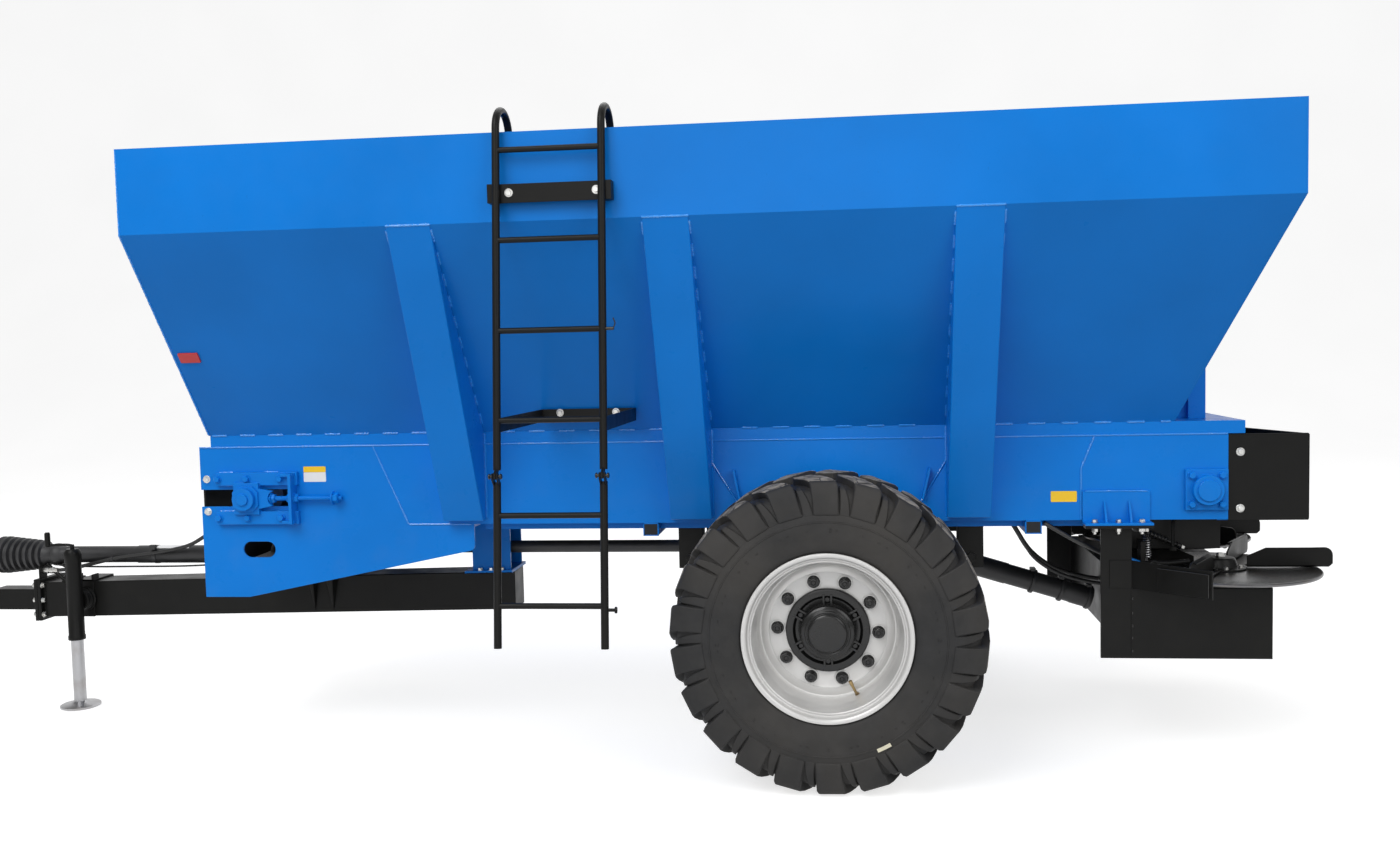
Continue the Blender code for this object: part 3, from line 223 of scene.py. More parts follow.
def paint_finish(name, base, rough, peel, dust, coat=0.0, metallic=0.0, gloss=0.15):
    """Sprayed paint with orange peel, faint tone changes, scuffs and dust that lies low."""
    n = Nodes(name)
    cloud = n.noise(1.7, 5)
    tone = n.blend(n.ramp(cloud, 0, 1, 0.3, 0.7), shade(base, 0.9), shade(base, 1.08))
    height = n.add("SeparateXYZ")
    n.link(n.coords, height.inputs[0])
    low = n.ramp(height.outputs["Z"], 1, 0, 0.3, 1.3)
    patch = n.ramp(n.noise(9, 8), 0, 1, 0.5, 0.78)
    film = n.add("Math", operation="MULTIPLY")
    n.link(low, film.inputs[0])
    n.link(patch, film.inputs[1])
    share = n.add("Math", operation="MULTIPLY")
    n.link(film.outputs[0], share.inputs[0])
    share.inputs[1].default_value = dust
    dirty = n.blend(share.outputs[0], tone, (0.3, 0.27, 0.22))
    speck = n.ramp(n.noise(160, 2), 0, 0.35, 0.7, 0.8)
    n.link(n.blend(speck, dirty, shade(base, 0.55)), n.shader.inputs["Base Color"])
    n.link(n.ramp(n.noise(14, 7), rough - 0.06, rough + 0.1, 0.25, 0.75), n.shader.inputs["Roughness"])
    n.shader.inputs["Metallic"].default_value = metallic
    n.shader.inputs["Specular IOR Level"].default_value = gloss
    n.shader.inputs["Coat Weight"].default_value = coat
    n.shader.inputs["Coat Roughness"].default_value = 0.12
    n.bump([(n.noise(420, 2), peel, 0.0006), (n.noise(5.5, 3), peel * 1.5, 0.004)])
    return n.material


def rubber_finish(name, base, grain, dust):
    """Matt rubber with moulding grain, scuffs and dry dust."""
    n = Nodes(name)
    worn = n.ramp(n.noise(22, 9), 0, 1, 0.42, 0.72)
    tone = n.blend(worn, shade(base, 0.8), shade(base, 1.7))
    share = n.ramp(n.noise(3.1, 6), 0, dust, 0.42, 0.75)
    n.link(n.blend(share, tone, (0.13, 0.115, 0.095)), n.shader.inputs["Base Color"])
    n.link(n.ramp(worn, 0.62, 0.82), n.shader.inputs["Roughness"])
    n.shader.inputs["Specular IOR Level"].default_value = 0.35
    n.bump([(n.noise(grain, 4), 0.25, 0.0008), (n.noise(38, 6), 0.18, 0.0015)])
    return n.material


def tread_finish(name, base):
    """Rubber whose crown is cracked and dusted by use."""
    n = Nodes(name)
    cells = n.add("TexVoronoi", feature="DISTANCE_TO_EDGE", Scale=17.0)
    n.link(n.coords, cells.inputs["Vector"])
    crack = n.ramp(cells.outputs["Distance"], 1, 0, 0.0, 0.05)
    grime = n.ramp(n.noise(30, 8), 0.25, 1.0, 0.34, 0.56)
    tone = n.blend(grime, shade(base, 1.6), (0.3, 0.27, 0.225))
    n.link(n.blend(crack, tone, shade(base, 0.45)), n.shader.inputs["Base Color"])
    n.shader.inputs["Roughness"].default_value = 0.85
    n.shader.inputs["Specular IOR Level"].default_value = 0.12
    n.bump([(cells.outputs["Distance"], 0.35, 0.003), (n.noise(260, 3), 0.3, 0.0008)])
    return n.material


def steel_finish(name, base, rough, brush):
    """Bare steel, brushed along one axis, with a thin film of oxide."""
    n = Nodes(name)
    film = n.ramp(n.noise(11, 8), 0, 0.55, 0.48, 0.8)
    n.link(n.blend(film, base, (0.2, 0.15, 0.11)), n.shader.inputs["Base Color"])
    n.link(n.ramp(n.noise(120, 3, brush), rough - 0.08, rough + 0.12), n.shader.inputs["Roughness"])
    n.shader.inputs["Metallic"].default_value = 1.0
    n.bump([(n.noise(160, 2, brush), 0.1, 0.0005), (n.noise(28, 5), 0.06, 0.002)])
    return n.material


def moulded_finish(name, base, rough):
    """Moulded plastic or hose with fine grain and faint rub marks."""
    n = Nodes(name)
    rub = n.ramp(n.noise(16, 8), 0, 1, 0.45, 0.75)
    n.link(n.blend(rub, base, shade(base, 1.7)), n.shader.inputs["Base Color"])
    n.link(n.ramp(rub, rough, rough + 0.14), n.shader.inputs["Roughness"])
    n.bump([(n.noise(700, 2), 0.12, 0.0004)])
    return n.material


def label_finish(name, base):
    """Blank vinyl sticker, slightly faded."""
    n = Nodes(name)
    n.link(n.blend(n.ramp(n.noise(45, 4), 0, 0.35), base, shade(base, 0.8)), n.shader.inputs["Base Color"])
    n.shader.inputs["Roughness"].default_value = 0.34
    n.bump([(n.noise(300, 2), 0.05, 0.0003)])
    return n.material


def make_finishes():
    """Every material of the machine, from the paint settings."""
    paint = setting("paint")
    blue, black = tuple(paint.blue), tuple(paint.black)
    rubber, steel = tuple(paint.rubber), tuple(paint.steel)
    FINISHES.update({
        "blue": paint_finish("blue_paint", blue, 0.3, paint.peel, paint.dust, coat=0.04, gloss=0.1),
        # hopper paint: the blue paint darkened, painted shade on the hopper
        "hopper": paint_finish("hopper_paint_painted_shade", shade(blue, 0.92), 0.33, paint.peel, paint.dust * 0.5,
                               coat=0.03, gloss=0.1),
        "black": paint_finish("black_paint", black, 0.36, paint.peel * 1.2, paint.dust * 0.15, gloss=0.14),
        "silver": paint_finish("wheel_silver", tuple(paint.silver), 0.34, paint.peel, paint.dust * 0.8,
                               coat=0.1, metallic=0.3, gloss=0.5),
        # bead paint: a lighter, glossier copy of the blue paint, a painted highlight along the weld beads
        "bead": paint_finish("bead_paint_painted_highlight", (0.02, 0.26, 0.76), 0.2, paint.peel, 0.0, coat=0.5, gloss=0.6),
        "gloss": paint_finish("hub_gloss", (0.007, 0.007, 0.007), 0.24, paint.peel, 0.0,
                              coat=0.15, gloss=0.35),
        "rubber": rubber_finish("tyre_casing", rubber, 300, 0.2),
        "tread": tread_finish("tyre_tread", rubber),
        "belt": rubber_finish("belt_rubber", shade(rubber, 0.9), 220, 0.5),
        "hose": moulded_finish("hose_cover", (0.012, 0.012, 0.012), 0.42),
        "plastic": moulded_finish("guard_plastic", (0.016, 0.016, 0.017), 0.46),
        "steel": steel_finish("bare_steel", steel, 0.34, (1, 14, 14)),
        "disc": steel_finish("disc_steel", shade(steel, 0.34), 0.27, (3, 3, 30)),
        "zinc": steel_finish("zinc_plate", (0.66, 0.66, 0.64), 0.3, (9, 9, 9)),
        "yellow": label_finish("yellow_label", (0.9, 0.56, 0.01)),
        "white": label_finish("white_label", (0.8, 0.8, 0.79)),
        "red": label_finish("red_reflector", (0.55, 0.02, 0.02)),
        "cream": label_finish("cream_label", (0.72, 0.68, 0.52)),
        "brass": steel_finish("brass_valve", (0.42, 0.3, 0.14), 0.36, (6, 6, 6)),
        # near-black material for the tube ends: painted shade for the inside of the cross tubes
        "shadow": moulded_finish("tube_inside_painted_shade", (0.008, 0.009, 0.011), 0.8),
    })


# ---- shapes, all in machine axes -------------------------------------------------------------------
def prism(mesh, outline, low, high, axis="Y"):
    """Closed prism of a 2-D outline. X: outline is (y, z). Y: (x, z). Z: (x, y)."""
    place = {"X": lambda p, d: (d, p[0], p[1]), "Y": lambda p, d: (p[0], d, p[1]),
             "Z": lambda p, d: (p[0], p[1], d)}[axis]
    near = [mesh.verts.new(place(point, min(low, high))) for point in outline]
    far = [mesh.verts.new(place(point, max(low, high))) for point in outline]
    faces = [mesh.faces.new(near), mesh.faces.new(far)]
    for i in range(len(outline)):
        j = (i + 1) % len(outline)
        faces.append(mesh.faces.new((near[i], near[j], far[j], far[i])))
    bmesh.ops.recalc_face_normals(mesh, faces=faces)
    return faces


def box(mesh, x, y, z):
    return prism(mesh, [(x[0], z[0]), (x[1], z[0]), (x[1], z[1]), (x[0], z[1])], y[0], y[1])


def lathe(mesh, profile, centre, axis, steps=48):
    """Turned solid; profile is (radius, distance along the axis)."""
    turn = Vector(axis).normalized().to_track_quat("Z", "X").to_matrix().to_4x4()
    place = Matrix.Translation(Vector(centre)) @ turn
    rings = []
    for radius, along in profile:
        count = 1 if radius < 1e-6 else steps
        ring = []
        for step in range(count):
            angle = 2 * pi * step / steps
            ring.append(mesh.verts.new(place @ Vector((radius * cos(angle), radius * sin(angle), along))))
        rings.append(ring)
    faces = []
    for a, b in zip(rings, rings[1:] + rings[:1]):
        for step in range(steps if max(len(a), len(b)) > 1 else 0):
            k = (step + 1) % steps
            corners = [a[step % len(a)], a[k % len(a)], b[k % len(b)], b[step % len(b)]]
            faces.append(mesh.faces.new(list(dict.fromkeys(corners))))
    bmesh.ops.recalc_face_normals(mesh, faces=faces)
    return faces


def rod(mesh, start, end, radius, steps=20):
    axis = Vector(end) - Vector(start)
    return lathe(mesh, [(0, 0), (radius, 0), (radius, axis.length), (0, axis.length)], start, axis, steps)


def tube(mesh, points, radius, steps=14, close=False):
    """Round tube along points. radius is one number or one for each point."""
    path = [Vector(point) for point in points]
    radii = radius if isinstance(radius, (list, tuple)) else [radius] * len(path)
    first = path[1] - path[0]
    side = Vector((1, 0, 0)) if abs(first.normalized().x) < 0.9 else Vector((0, 1, 0))
    rings = []
    for i, point in enumerate(path):
        ahead = path[(i + 1) % len(path)] if close else path[min(i + 1, len(path) - 1)]
        behind = path[i - 1] if close or i else path[0]
        tangent = (ahead - behind).normalized()
        side = (side - tangent * side.dot(tangent)).normalized()
        up = tangent.cross(side)
        angles = [2 * pi * step / steps for step in range(steps)]
        rings.append([mesh.verts.new(point + radii[i] * (cos(a) * side + sin(a) * up)) for a in angles])
    faces = []
    for a, b in zip(rings, rings[1:] + (rings[:1] if close else [])):
        for step in range(steps):
            k = (step + 1) % steps
            faces.append(mesh.faces.new((a[step], a[k], b[k], b[step])))
    if not close:
        faces += [mesh.faces.new(rings[0]), mesh.faces.new(rings[-1])]
    bmesh.ops.recalc_face_normals(mesh, faces=faces)
    return faces


def arc(centre, radius, start, end, steps):
    angles = [radians(start + (end - start) * i / steps) for i in range(steps + 1)]
    return [(centre[0] + radius * cos(a), centre[1] + radius * sin(a)) for a in angles]


def smooth(points, count):
    """Evenly spaced points on a Catmull-Rom curve through the given ones."""
    route = [Vector(point) for point in points]
    route = [2 * route[0] - route[1]] + route + [2 * route[-1] - route[-2]]
    dense = []
    for i in range(1, len(route) - 2):
        a, b, c, d = route[i - 1:i + 3]
        for step in range(24):
            t = step / 24
            dense.append(0.5 * (2 * b + (c - a) * t + (2 * a - 5 * b + 4 * c - d) * t * t
                                + (3 * b - a - 3 * c + d) * t ** 3))
    dense.append(route[-2])
    lengths = [0.0]
    for a, b in zip(dense, dense[1:]):
        lengths.append(lengths[-1] + (b - a).length)
    picked = []
    k = 0
    for i in range(count):
        target = lengths[-1] * i / (count - 1)
        while k < len(dense) - 2 and lengths[k + 1] < target:
            k += 1
        share = (target - lengths[k]) / (lengths[k + 1] - lengths[k])
        picked.append(dense[k].lerp(dense[k + 1], min(max(share, 0), 1)))
    return picked


# ---- pieces ----------------------------------------------------------------------------------------
def settle(obj, finish, body, replaced=()):
    """Material, smooth shading, body and replaced nodes of a piece that is already placed."""
    if finish:
        obj.data.materials.clear()
        obj.data.materials.append(FINISHES[finish])
    if not obj.data.has_custom_normals:
        obj.data.shade_smooth()
        obj.data.set_sharp_from_angle(angle=radians(32))
    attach(obj, body)
    if replaced:
        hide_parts(*replaced)
    return obj


def piece(name, mesh, finish, body="root", replaced=(), edge=0.0, segments=2):
    """A bmesh in machine axes becomes a piece; edge rounds its sharp edges."""
    bmesh.ops.translate(mesh, verts=mesh.verts, vec=DATUM)
    data = bpy.data.meshes.new(name)
    mesh.to_mesh(data)
    mesh.free()
    obj = bpy.data.objects.new(name, data)
    bpy.context.scene.collection.objects.link(obj)
    if edge:
        rounding(obj, edge, segments)
    return settle(obj, finish, body, replaced)


def rounding(obj, width, segments=2):
    """Bevels an object's sharp edges for good."""
    obj.data.shade_smooth()
    obj.data.set_sharp_from_angle(angle=radians(32))
    bevel = obj.modifiers.new("edge", "BEVEL")
    bevel.width = width
    bevel.segments = segments
    bevel.limit_method = "ANGLE"
    bevel.angle_limit = radians(32)
    bevel.use_clamp_overlap = True
    even = obj.modifiers.new("even", "WEIGHTED_NORMAL")
    even.keep_sharp = True
    bake(obj)


def bake(obj):
    """Turns an object's modifiers into plain mesh."""
    bpy.context.view_layer.update()
    evaluated = obj.evaluated_get(bpy.context.evaluated_depsgraph_get())
    data = bpy.data.meshes.new_from_object(evaluated)
    obj.modifiers.clear()
    old = obj.data
    obj.data = data
    bpy.data.meshes.remove(old)


def refine(node, width):
    """A CAD node with rounded edges and its finish, standing for the plain solid."""
    source = frame["nodes"][node]
    mesh = bmesh.new()
    mesh.from_mesh(source.data)
    bmesh.ops.remove_doubles(mesh, verts=mesh.verts, dist=0.00002)
    bmesh.ops.dissolve_limit(mesh, angle_limit=radians(1.0), verts=mesh.verts, edges=mesh.edges)
    bmesh.ops.translate(mesh, verts=mesh.verts, vec=-DATUM)
    return piece(node + "_finished", mesh, FINISH_OF_SLOT[SLOT_OF[node]], BODY_OF[node], (node,), width)


# ---- geometry nodes --------------------------------------------------------------------------------
class Tree:
    """A Geometry Nodes tree with named inputs that ends in Realize Instances and Set Material."""

    def __init__(self, name, inputs):
        self.tree = bpy.data.node_groups.new(name, "GeometryNodeTree")
        face = self.tree.interface
        face.new_socket("Geometry", in_out="INPUT", socket_type="NodeSocketGeometry")
        for key, kind in inputs.items():
            face.new_socket(key, in_out="INPUT", socket_type="NodeSocket" + kind)
        face.new_socket("Material", in_out="INPUT", socket_type="NodeSocketMaterial")
        face.new_socket("Geometry", in_out="OUTPUT", socket_type="NodeSocketGeometry")
        self.given = self.tree.nodes.new("NodeGroupInput").outputs

    def add(self, kind, **links):
        """Adds a node; each keyword is a socket name with its source socket or its value."""
        made = self.tree.nodes.new(kind)
        for key, value in links.items():
            if hasattr(made, key) and isinstance(value, str):
                setattr(made, key, value)
                continue
            socket = made.inputs[key.replace("_", " ")]
            if isinstance(value, bpy.types.NodeSocket):
                self.tree.links.new(value, socket)
            else:
                socket.default_value = value
        return made

    def finish(self, geometry):
        realize = self.add("GeometryNodeRealizeInstances", Geometry=geometry)
        paint = self.add("GeometryNodeSetMaterial", Geometry=realize.outputs[0],
                         Material=self.given["Material"])
        end = self.tree.nodes.new("NodeGroupOutput")
        self.tree.links.new(paint.outputs[0], end.inputs[0])
        return self.tree


def ring_tree():
    """Repeats the given mesh round an axis through the origin."""
    t = Tree("repeat_round", {"Count": "Int", "Axis": "Vector", "Start": "Float"})
    points = t.add("GeometryNodePoints", Count=t.given["Count"])
    index = t.add("GeometryNodeInputIndex")
    share = t.add("ShaderNodeMath", operation="DIVIDE")
    t.tree.links.new(index.outputs[0], share.inputs[0])
    t.tree.links.new(t.given["Count"], share.inputs[1])
    angle = t.add("ShaderNodeMath", operation="MULTIPLY_ADD")
    t.tree.links.new(share.outputs[0], angle.inputs[0])
    angle.inputs[1].default_value = 2 * pi
    t.tree.links.new(t.given["Start"], angle.inputs[2])
    turn = t.add("FunctionNodeAxisAngleToRotation", Axis=t.given["Axis"], Angle=angle.outputs[0])
    copies = t.add("GeometryNodeInstanceOnPoints", Points=points.outputs[0], Instance=t.given["Geometry"],
                   Rotation=turn.outputs[0])
    return t.finish(copies.outputs[0])


def scatter_tree():
    """Stands a prototype on every point, its Z along the point's axis attribute."""
    t = Tree("stand_on_points", {"Prototype": "Object", "Seed": "Int"})
    proto = t.add("GeometryNodeObjectInfo", Object=t.given["Prototype"])
    axis = t.add("GeometryNodeInputNamedAttribute", data_type="FLOAT_VECTOR", Name="axis")
    align = t.add("FunctionNodeAlignRotationToVector", axis="Z", Vector=axis.outputs[0])
    chance = t.add("FunctionNodeRandomValue", data_type="FLOAT", Seed=t.given["Seed"])
    chance.inputs[3].default_value = pi
    spin = t.add("FunctionNodeAxisAngleToRotation", Axis=(0.0, 0.0, 1.0), Angle=chance.outputs[1])
    turn = t.add("FunctionNodeRotateRotation", rotation_space="LOCAL", Rotation=align.outputs[0])
    t.tree.links.new(spin.outputs[0], turn.inputs[1])
    copies = t.add("GeometryNodeInstanceOnPoints", Points=t.given["Geometry"],
                   Instance=proto.outputs["Geometry"], Rotation=turn.outputs[0])
    return t.finish(copies.outputs[0])


def bead_tree():
    """Sweeps a rippled round bead along every edge path."""
    t = Tree("weld_bead", {"Radius": "Float", "Step": "Float"})
    path = t.add("GeometryNodeMeshToCurve", Mesh=t.given["Geometry"])
    even = t.add("GeometryNodeResampleCurve", mode="LENGTH", Curve=path.outputs[0])
    half = t.add("ShaderNodeMath", operation="MULTIPLY")
    t.tree.links.new(t.given["Step"], half.inputs[0])
    half.inputs[1].default_value = 0.5
    t.tree.links.new(half.outputs[0], even.inputs["Length"])
    index = t.add("GeometryNodeInputIndex")
    ripple = t.add("FunctionNodeRandomValue", data_type="FLOAT", Seed=5, ID=index.outputs[0])
    ripple.inputs[2].default_value = 0.72
    ripple.inputs[3].default_value = 1.15
    sized = t.add("GeometryNodeSetCurveRadius", Curve=even.outputs[0], Radius=ripple.outputs[1])
    ring = t.add("GeometryNodeCurvePrimitiveCircle", Radius=t.given["Radius"], Resolution=6)
    swept = t.add("GeometryNodeCurveToMesh", Curve=sized.outputs[0], Profile_Curve=ring.outputs[0])
    swept.inputs["Fill Caps"].default_value = True
    if "Scale" in swept.inputs:
        reader = t.add("GeometryNodeInputRadius")
        t.tree.links.new(reader.outputs[0], swept.inputs["Scale"])
    return t.finish(swept.outputs[0])


TREES = {}


def grow(obj, tree, finish, **inputs):
    """Runs a tree on an object and keeps the plain mesh."""
    if tree not in TREES:
        TREES[tree] = {"ring": ring_tree, "scatter": scatter_tree, "bead": bead_tree}[tree]()
    modifier = obj.modifiers.new(tree, "NODES")
    modifier.node_group = TREES[tree]
    inputs["Material"] = FINISHES[finish]
    for item in TREES[tree].interface.items_tree:
        if item.in_out == "INPUT" and item.name in inputs:
            modifier[item.identifier] = inputs[item.name]
    bake(obj)


def loose_object(name, mesh):
    data = bpy.data.meshes.new(name)
    mesh.to_mesh(data)
    mesh.free()
    obj = bpy.data.objects.new(name, data)
    bpy.context.scene.collection.objects.link(obj)
    return obj


def moved(obj, offset):
    """Moves an object's mesh, with the object left at the origin."""
    obj.data.transform(Matrix.Translation(offset))
    return obj


def hex_bolt(across, height, stud):
    """Bolt head on its washer, chamfered, with an optional stud end."""
    mesh = bmesh.new()
    thick = height * 0.16
    flat = across * 0.5
    outer = flat * 1.45
    corner = across / sqrt(3)
    lathe(mesh, [(0, 0), (outer, 0), (outer, thick * 0.7), (outer * 0.95, thick), (0, thick)],
          ORIGIN, UP, 18)
    lathe(mesh, [(0, thick), (corner, thick), (corner, height * 0.86), (flat * 0.93, height), (0, height)],
          ORIGIN, UP, 6)
    if stud:
        lathe(mesh, [(0, height * 0.9), (across * 0.3, height * 0.9), (across * 0.3, height + stud * 0.8),
                     (across * 0.24, height + stud), (0, height + stud)], ORIGIN, UP, 12)
    return loose_object("bolt_prototype", mesh)


def bolts(name, spots, finish="zinc", body="root", across=USUAL_BOLT, height=0.012, stud=0.0):
    """Hexagon heads at (point, axis) spots in machine axes, as one piece."""
    scale = setting("fasteners").bolt / USUAL_BOLT
    proto = hex_bolt(across * scale, height * scale, stud * scale)
    data = bpy.data.meshes.new(name)
    data.from_pydata([Vector(point) + DATUM for point, _ in spots], [], [])
    heading = data.attributes.new("axis", "FLOAT_VECTOR", "POINT")
    for i, (_, axis) in enumerate(spots):
        heading.data[i].vector = Vector(axis).normalized()
    obj = bpy.data.objects.new(name, data)
    bpy.context.scene.collection.objects.link(obj)
    grow(obj, "scatter", finish, Prototype=proto, Seed=len(spots))
    bpy.data.objects.remove(proto)
    return settle(obj, None, body_slot(body))


def body_slot(body):
    """Hands the body on unchanged before the piece is settled without a new material."""
    return body


def welds(name, paths, finish="blue", body="root", share=1.0):
    """Rippled beads along point lists in machine axes, as one piece; share is of the set radius."""
    verts, edges = [], []
    for path in paths:
        start = len(verts)
        verts += [Vector(point) + DATUM for point in path]
        edges += [(start + i, start + i + 1) for i in range(len(path) - 1)]
    data = bpy.data.meshes.new(name)
    data.from_pydata(verts, edges, [])
    obj = bpy.data.objects.new(name, data)
    bpy.context.scene.collection.objects.link(obj)
    weld = setting("welds")
    grow(obj, "bead", finish, Radius=weld.bead * share, Step=weld.step)
    return settle(obj, None, body_slot(body))


# ---- wheels ----------------------------------------------------------------------------------------
def wheel_centre(side_name):
    low, high = cad("rim_" + side_name)
    return Vector(((low.x + high.x) / 2, SIDES[side_name] * 0.89, (low.z + high.z) / 2))


def casing_profile():
    """(radius, along) of the tyre below its lugs, outer side first."""
    w = TYRE_HALF
    side = [(0.2665, w - 0.03), (0.271, w - 0.0235), (0.282, w - 0.0215), (0.288, w - 0.015),
            (0.3, w - 0.0105), (0.322, w - 0.005), (0.346, w - 0.0015), (0.372, w), (0.3795, w - 0.0002),
            (0.381, w + 0.0016), (0.384, w + 0.0016), (0.3855, w - 0.0006), (0.398, w - 0.0025),
            (0.415, w - 0.0075), (0.44, w - 0.0135), (0.462, w - 0.0205), (0.478, w - 0.03),
            (0.489, w - 0.045), (0.4945, w - 0.07), (0.4965, w - 0.11)]
    return side + [(radius, -along) for radius, along in reversed(side)]


def lug(mesh, side, centre, stations):
    """Block lofted along stations: base radius and along, top radius and along, half width, shift."""
    rings = []
    for base_r, base_a, top_r, top_a, wide, shift in stations:
        ring = []
        corners = ((base_r, base_a, -1.12), (top_r, top_a, -1), (top_r, top_a, 1), (base_r, base_a, 1.12))
        for r, a, share in corners:
            angle = centre + shift + share * wide / max(top_r, 0.3)
            ring.append(mesh.verts.new((r * sin(angle), side * a, r * cos(angle))))
        rings.append(ring)
    faces = [mesh.faces.new(rings[0]), mesh.faces.new(rings[-1])]
    for a, b in zip(rings, rings[1:]):
        for i in range(4):
            j = (i + 1) % 4
            faces.append(mesh.faces.new((a[i], a[j], b[j], b[i])))
    bmesh.ops.recalc_face_normals(mesh, faces=faces)


def shoulder_lug(mesh, side, centre):
    w = TYRE_HALF
    s = LUG_LEAN
    lug(mesh, side, centre, [
        (0.402, w - 0.012, 0.4045, w - 0.0025, 0.04, 0.01),
        (0.412, w - 0.018, 0.4135, w + 0.0005, 0.04, 0.008),
        (0.44, w - 0.026, 0.442, w - 0.0005, 0.0405, 0.004),
        (0.47, w - 0.04, 0.476, w - 0.0045, 0.0425, 0.0),
        (0.484, w - 0.052, 0.502, w - 0.012, 0.0435, -0.004),
        (0.486, w - 0.06, 0.5135, w - 0.023, 0.0435, s * 0.1),
        (0.488, w - 0.08, 0.5185, w - 0.05, 0.045, s * 0.28),
        (0.488, w - 0.11, 0.5198, w - 0.085, 0.047, s * 0.5),
        (0.488, 0.05, 0.5199, 0.06, 0.045, s * 0.78),
        (0.488, 0.016, 0.5199, 0.018, 0.03, s * 1.02),
    ])


def scoop(mesh, side, centre):
    """Half-height curved tongue that runs down the groove between two shoulder lugs."""
    w = TYRE_HALF
    lug(mesh, side, centre, [
        (0.4, w - 0.012, 0.4035, w - 0.004, 0.017, 0.012),
        (0.415, w - 0.018, 0.418, w - 0.0045, 0.0165, 0.008),
        (0.44, w - 0.026, 0.444, w - 0.0085, 0.015, 0.0),
        (0.462, w - 0.034, 0.468, w - 0.0135, 0.013, -0.012),
        (0.48, w - 0.045, 0.487, w - 0.0225, 0.0105, -0.024),
        (0.484, w - 0.062, 0.498, w - 0.04, 0.008, -0.034),
    ])


def tyre_mesh(round_steps, lugs, near):
    """Casing and the first lug of each row, at the origin; near is the side away from the machine."""
    mesh = bmesh.new()
    lathe(mesh, casing_profile(), ORIGIN, RIGHT, round_steps)
    blocks = bmesh.new()
    step = 2 * pi / lugs
    shoulder_lug(blocks, near, 0.0)
    shoulder_lug(blocks, -near, step / 2)
    scoop(blocks, near, step / 2)
    scoop(blocks, -near, 0.0)
    return mesh, blocks


class WheelTyres(bpy.types.Operator):
    """Tyres with lugs that run from the crown down over the shoulder"""
    bl_idname = "spreader.tyres"
    bl_label = "Tyres"

    def execute(self, context):
        tyre = setting("tyre")
        for side_name, side in SIDES.items():
            centre = wheel_centre(side_name)
            mesh, blocks = tyre_mesh(tyre.round_steps, tyre.lugs, side)
            casing = loose_object(f"tyre_{side_name}_casing", mesh)
            moved(casing, centre + DATUM)
            settle(casing, "rubber", "wheel_" + side_name, ("tyre_" + side_name,))
            tread = loose_object(f"tyre_{side_name}_lugs", blocks)
            rounding(tread, tyre.lug_edge, 2)
            grow(tread, "ring", "rubber", Count=tyre.lugs, Axis=(0.0, 1.0, 0.0), Start=0.0)
            tread.data.materials.clear()
            tread.data.materials.append(FINISHES["rubber"])
            tread.data.materials.append(FINISHES["tread"])
            for face in tread.data.polygons:
                spot = face.center
                outward = Vector((spot.x, 0, spot.z)).normalized()
                if spot.xz.length > 0.5125 and face.normal.dot(outward) > 0.75:
                    face.material_index = 1
            moved(tread, centre + DATUM)
            settle(tread, None, "wheel_" + side_name)
            self.marks(side_name, side, centre)
        return {"FINISHED"}

    def marks(self, side_name, side, centre):
        """Plain moulded ticks on the side wall and one blank label."""
        mesh = bmesh.new()
        for number in range(40):
            angle = 2 * pi * (number + 0.35 * sin(number * 2.3)) / 40
            for radius in (0.352, 0.361) if number % 5 == 0 else (0.356,):
                along = centre.y + side * (TYRE_HALF + 0.0002)
                ends = []
                for spread in (-0.011, 0.011):
                    a = angle + spread
                    ends.append((centre.x + radius * cos(a), along, centre.z + radius * sin(a)))
                tube(mesh, ends, 0.0011, 6)
        piece(f"tyre_{side_name}_marks", mesh, "rubber", "wheel_" + side_name)
        mesh = bmesh.new()
        outline = arc((centre.x, centre.z), 0.3955, -66.5, -59.5, 5)
        outline += arc((centre.x, centre.z), 0.3835, -59.5, -66.5, 5)
        face = centre.y + side * TYRE_HALF
        prism(mesh, outline, face - side * 0.006, face + side * 0.0022)
        piece(f"tyre_{side_name}_label", mesh, "cream", "wheel_" + side_name)


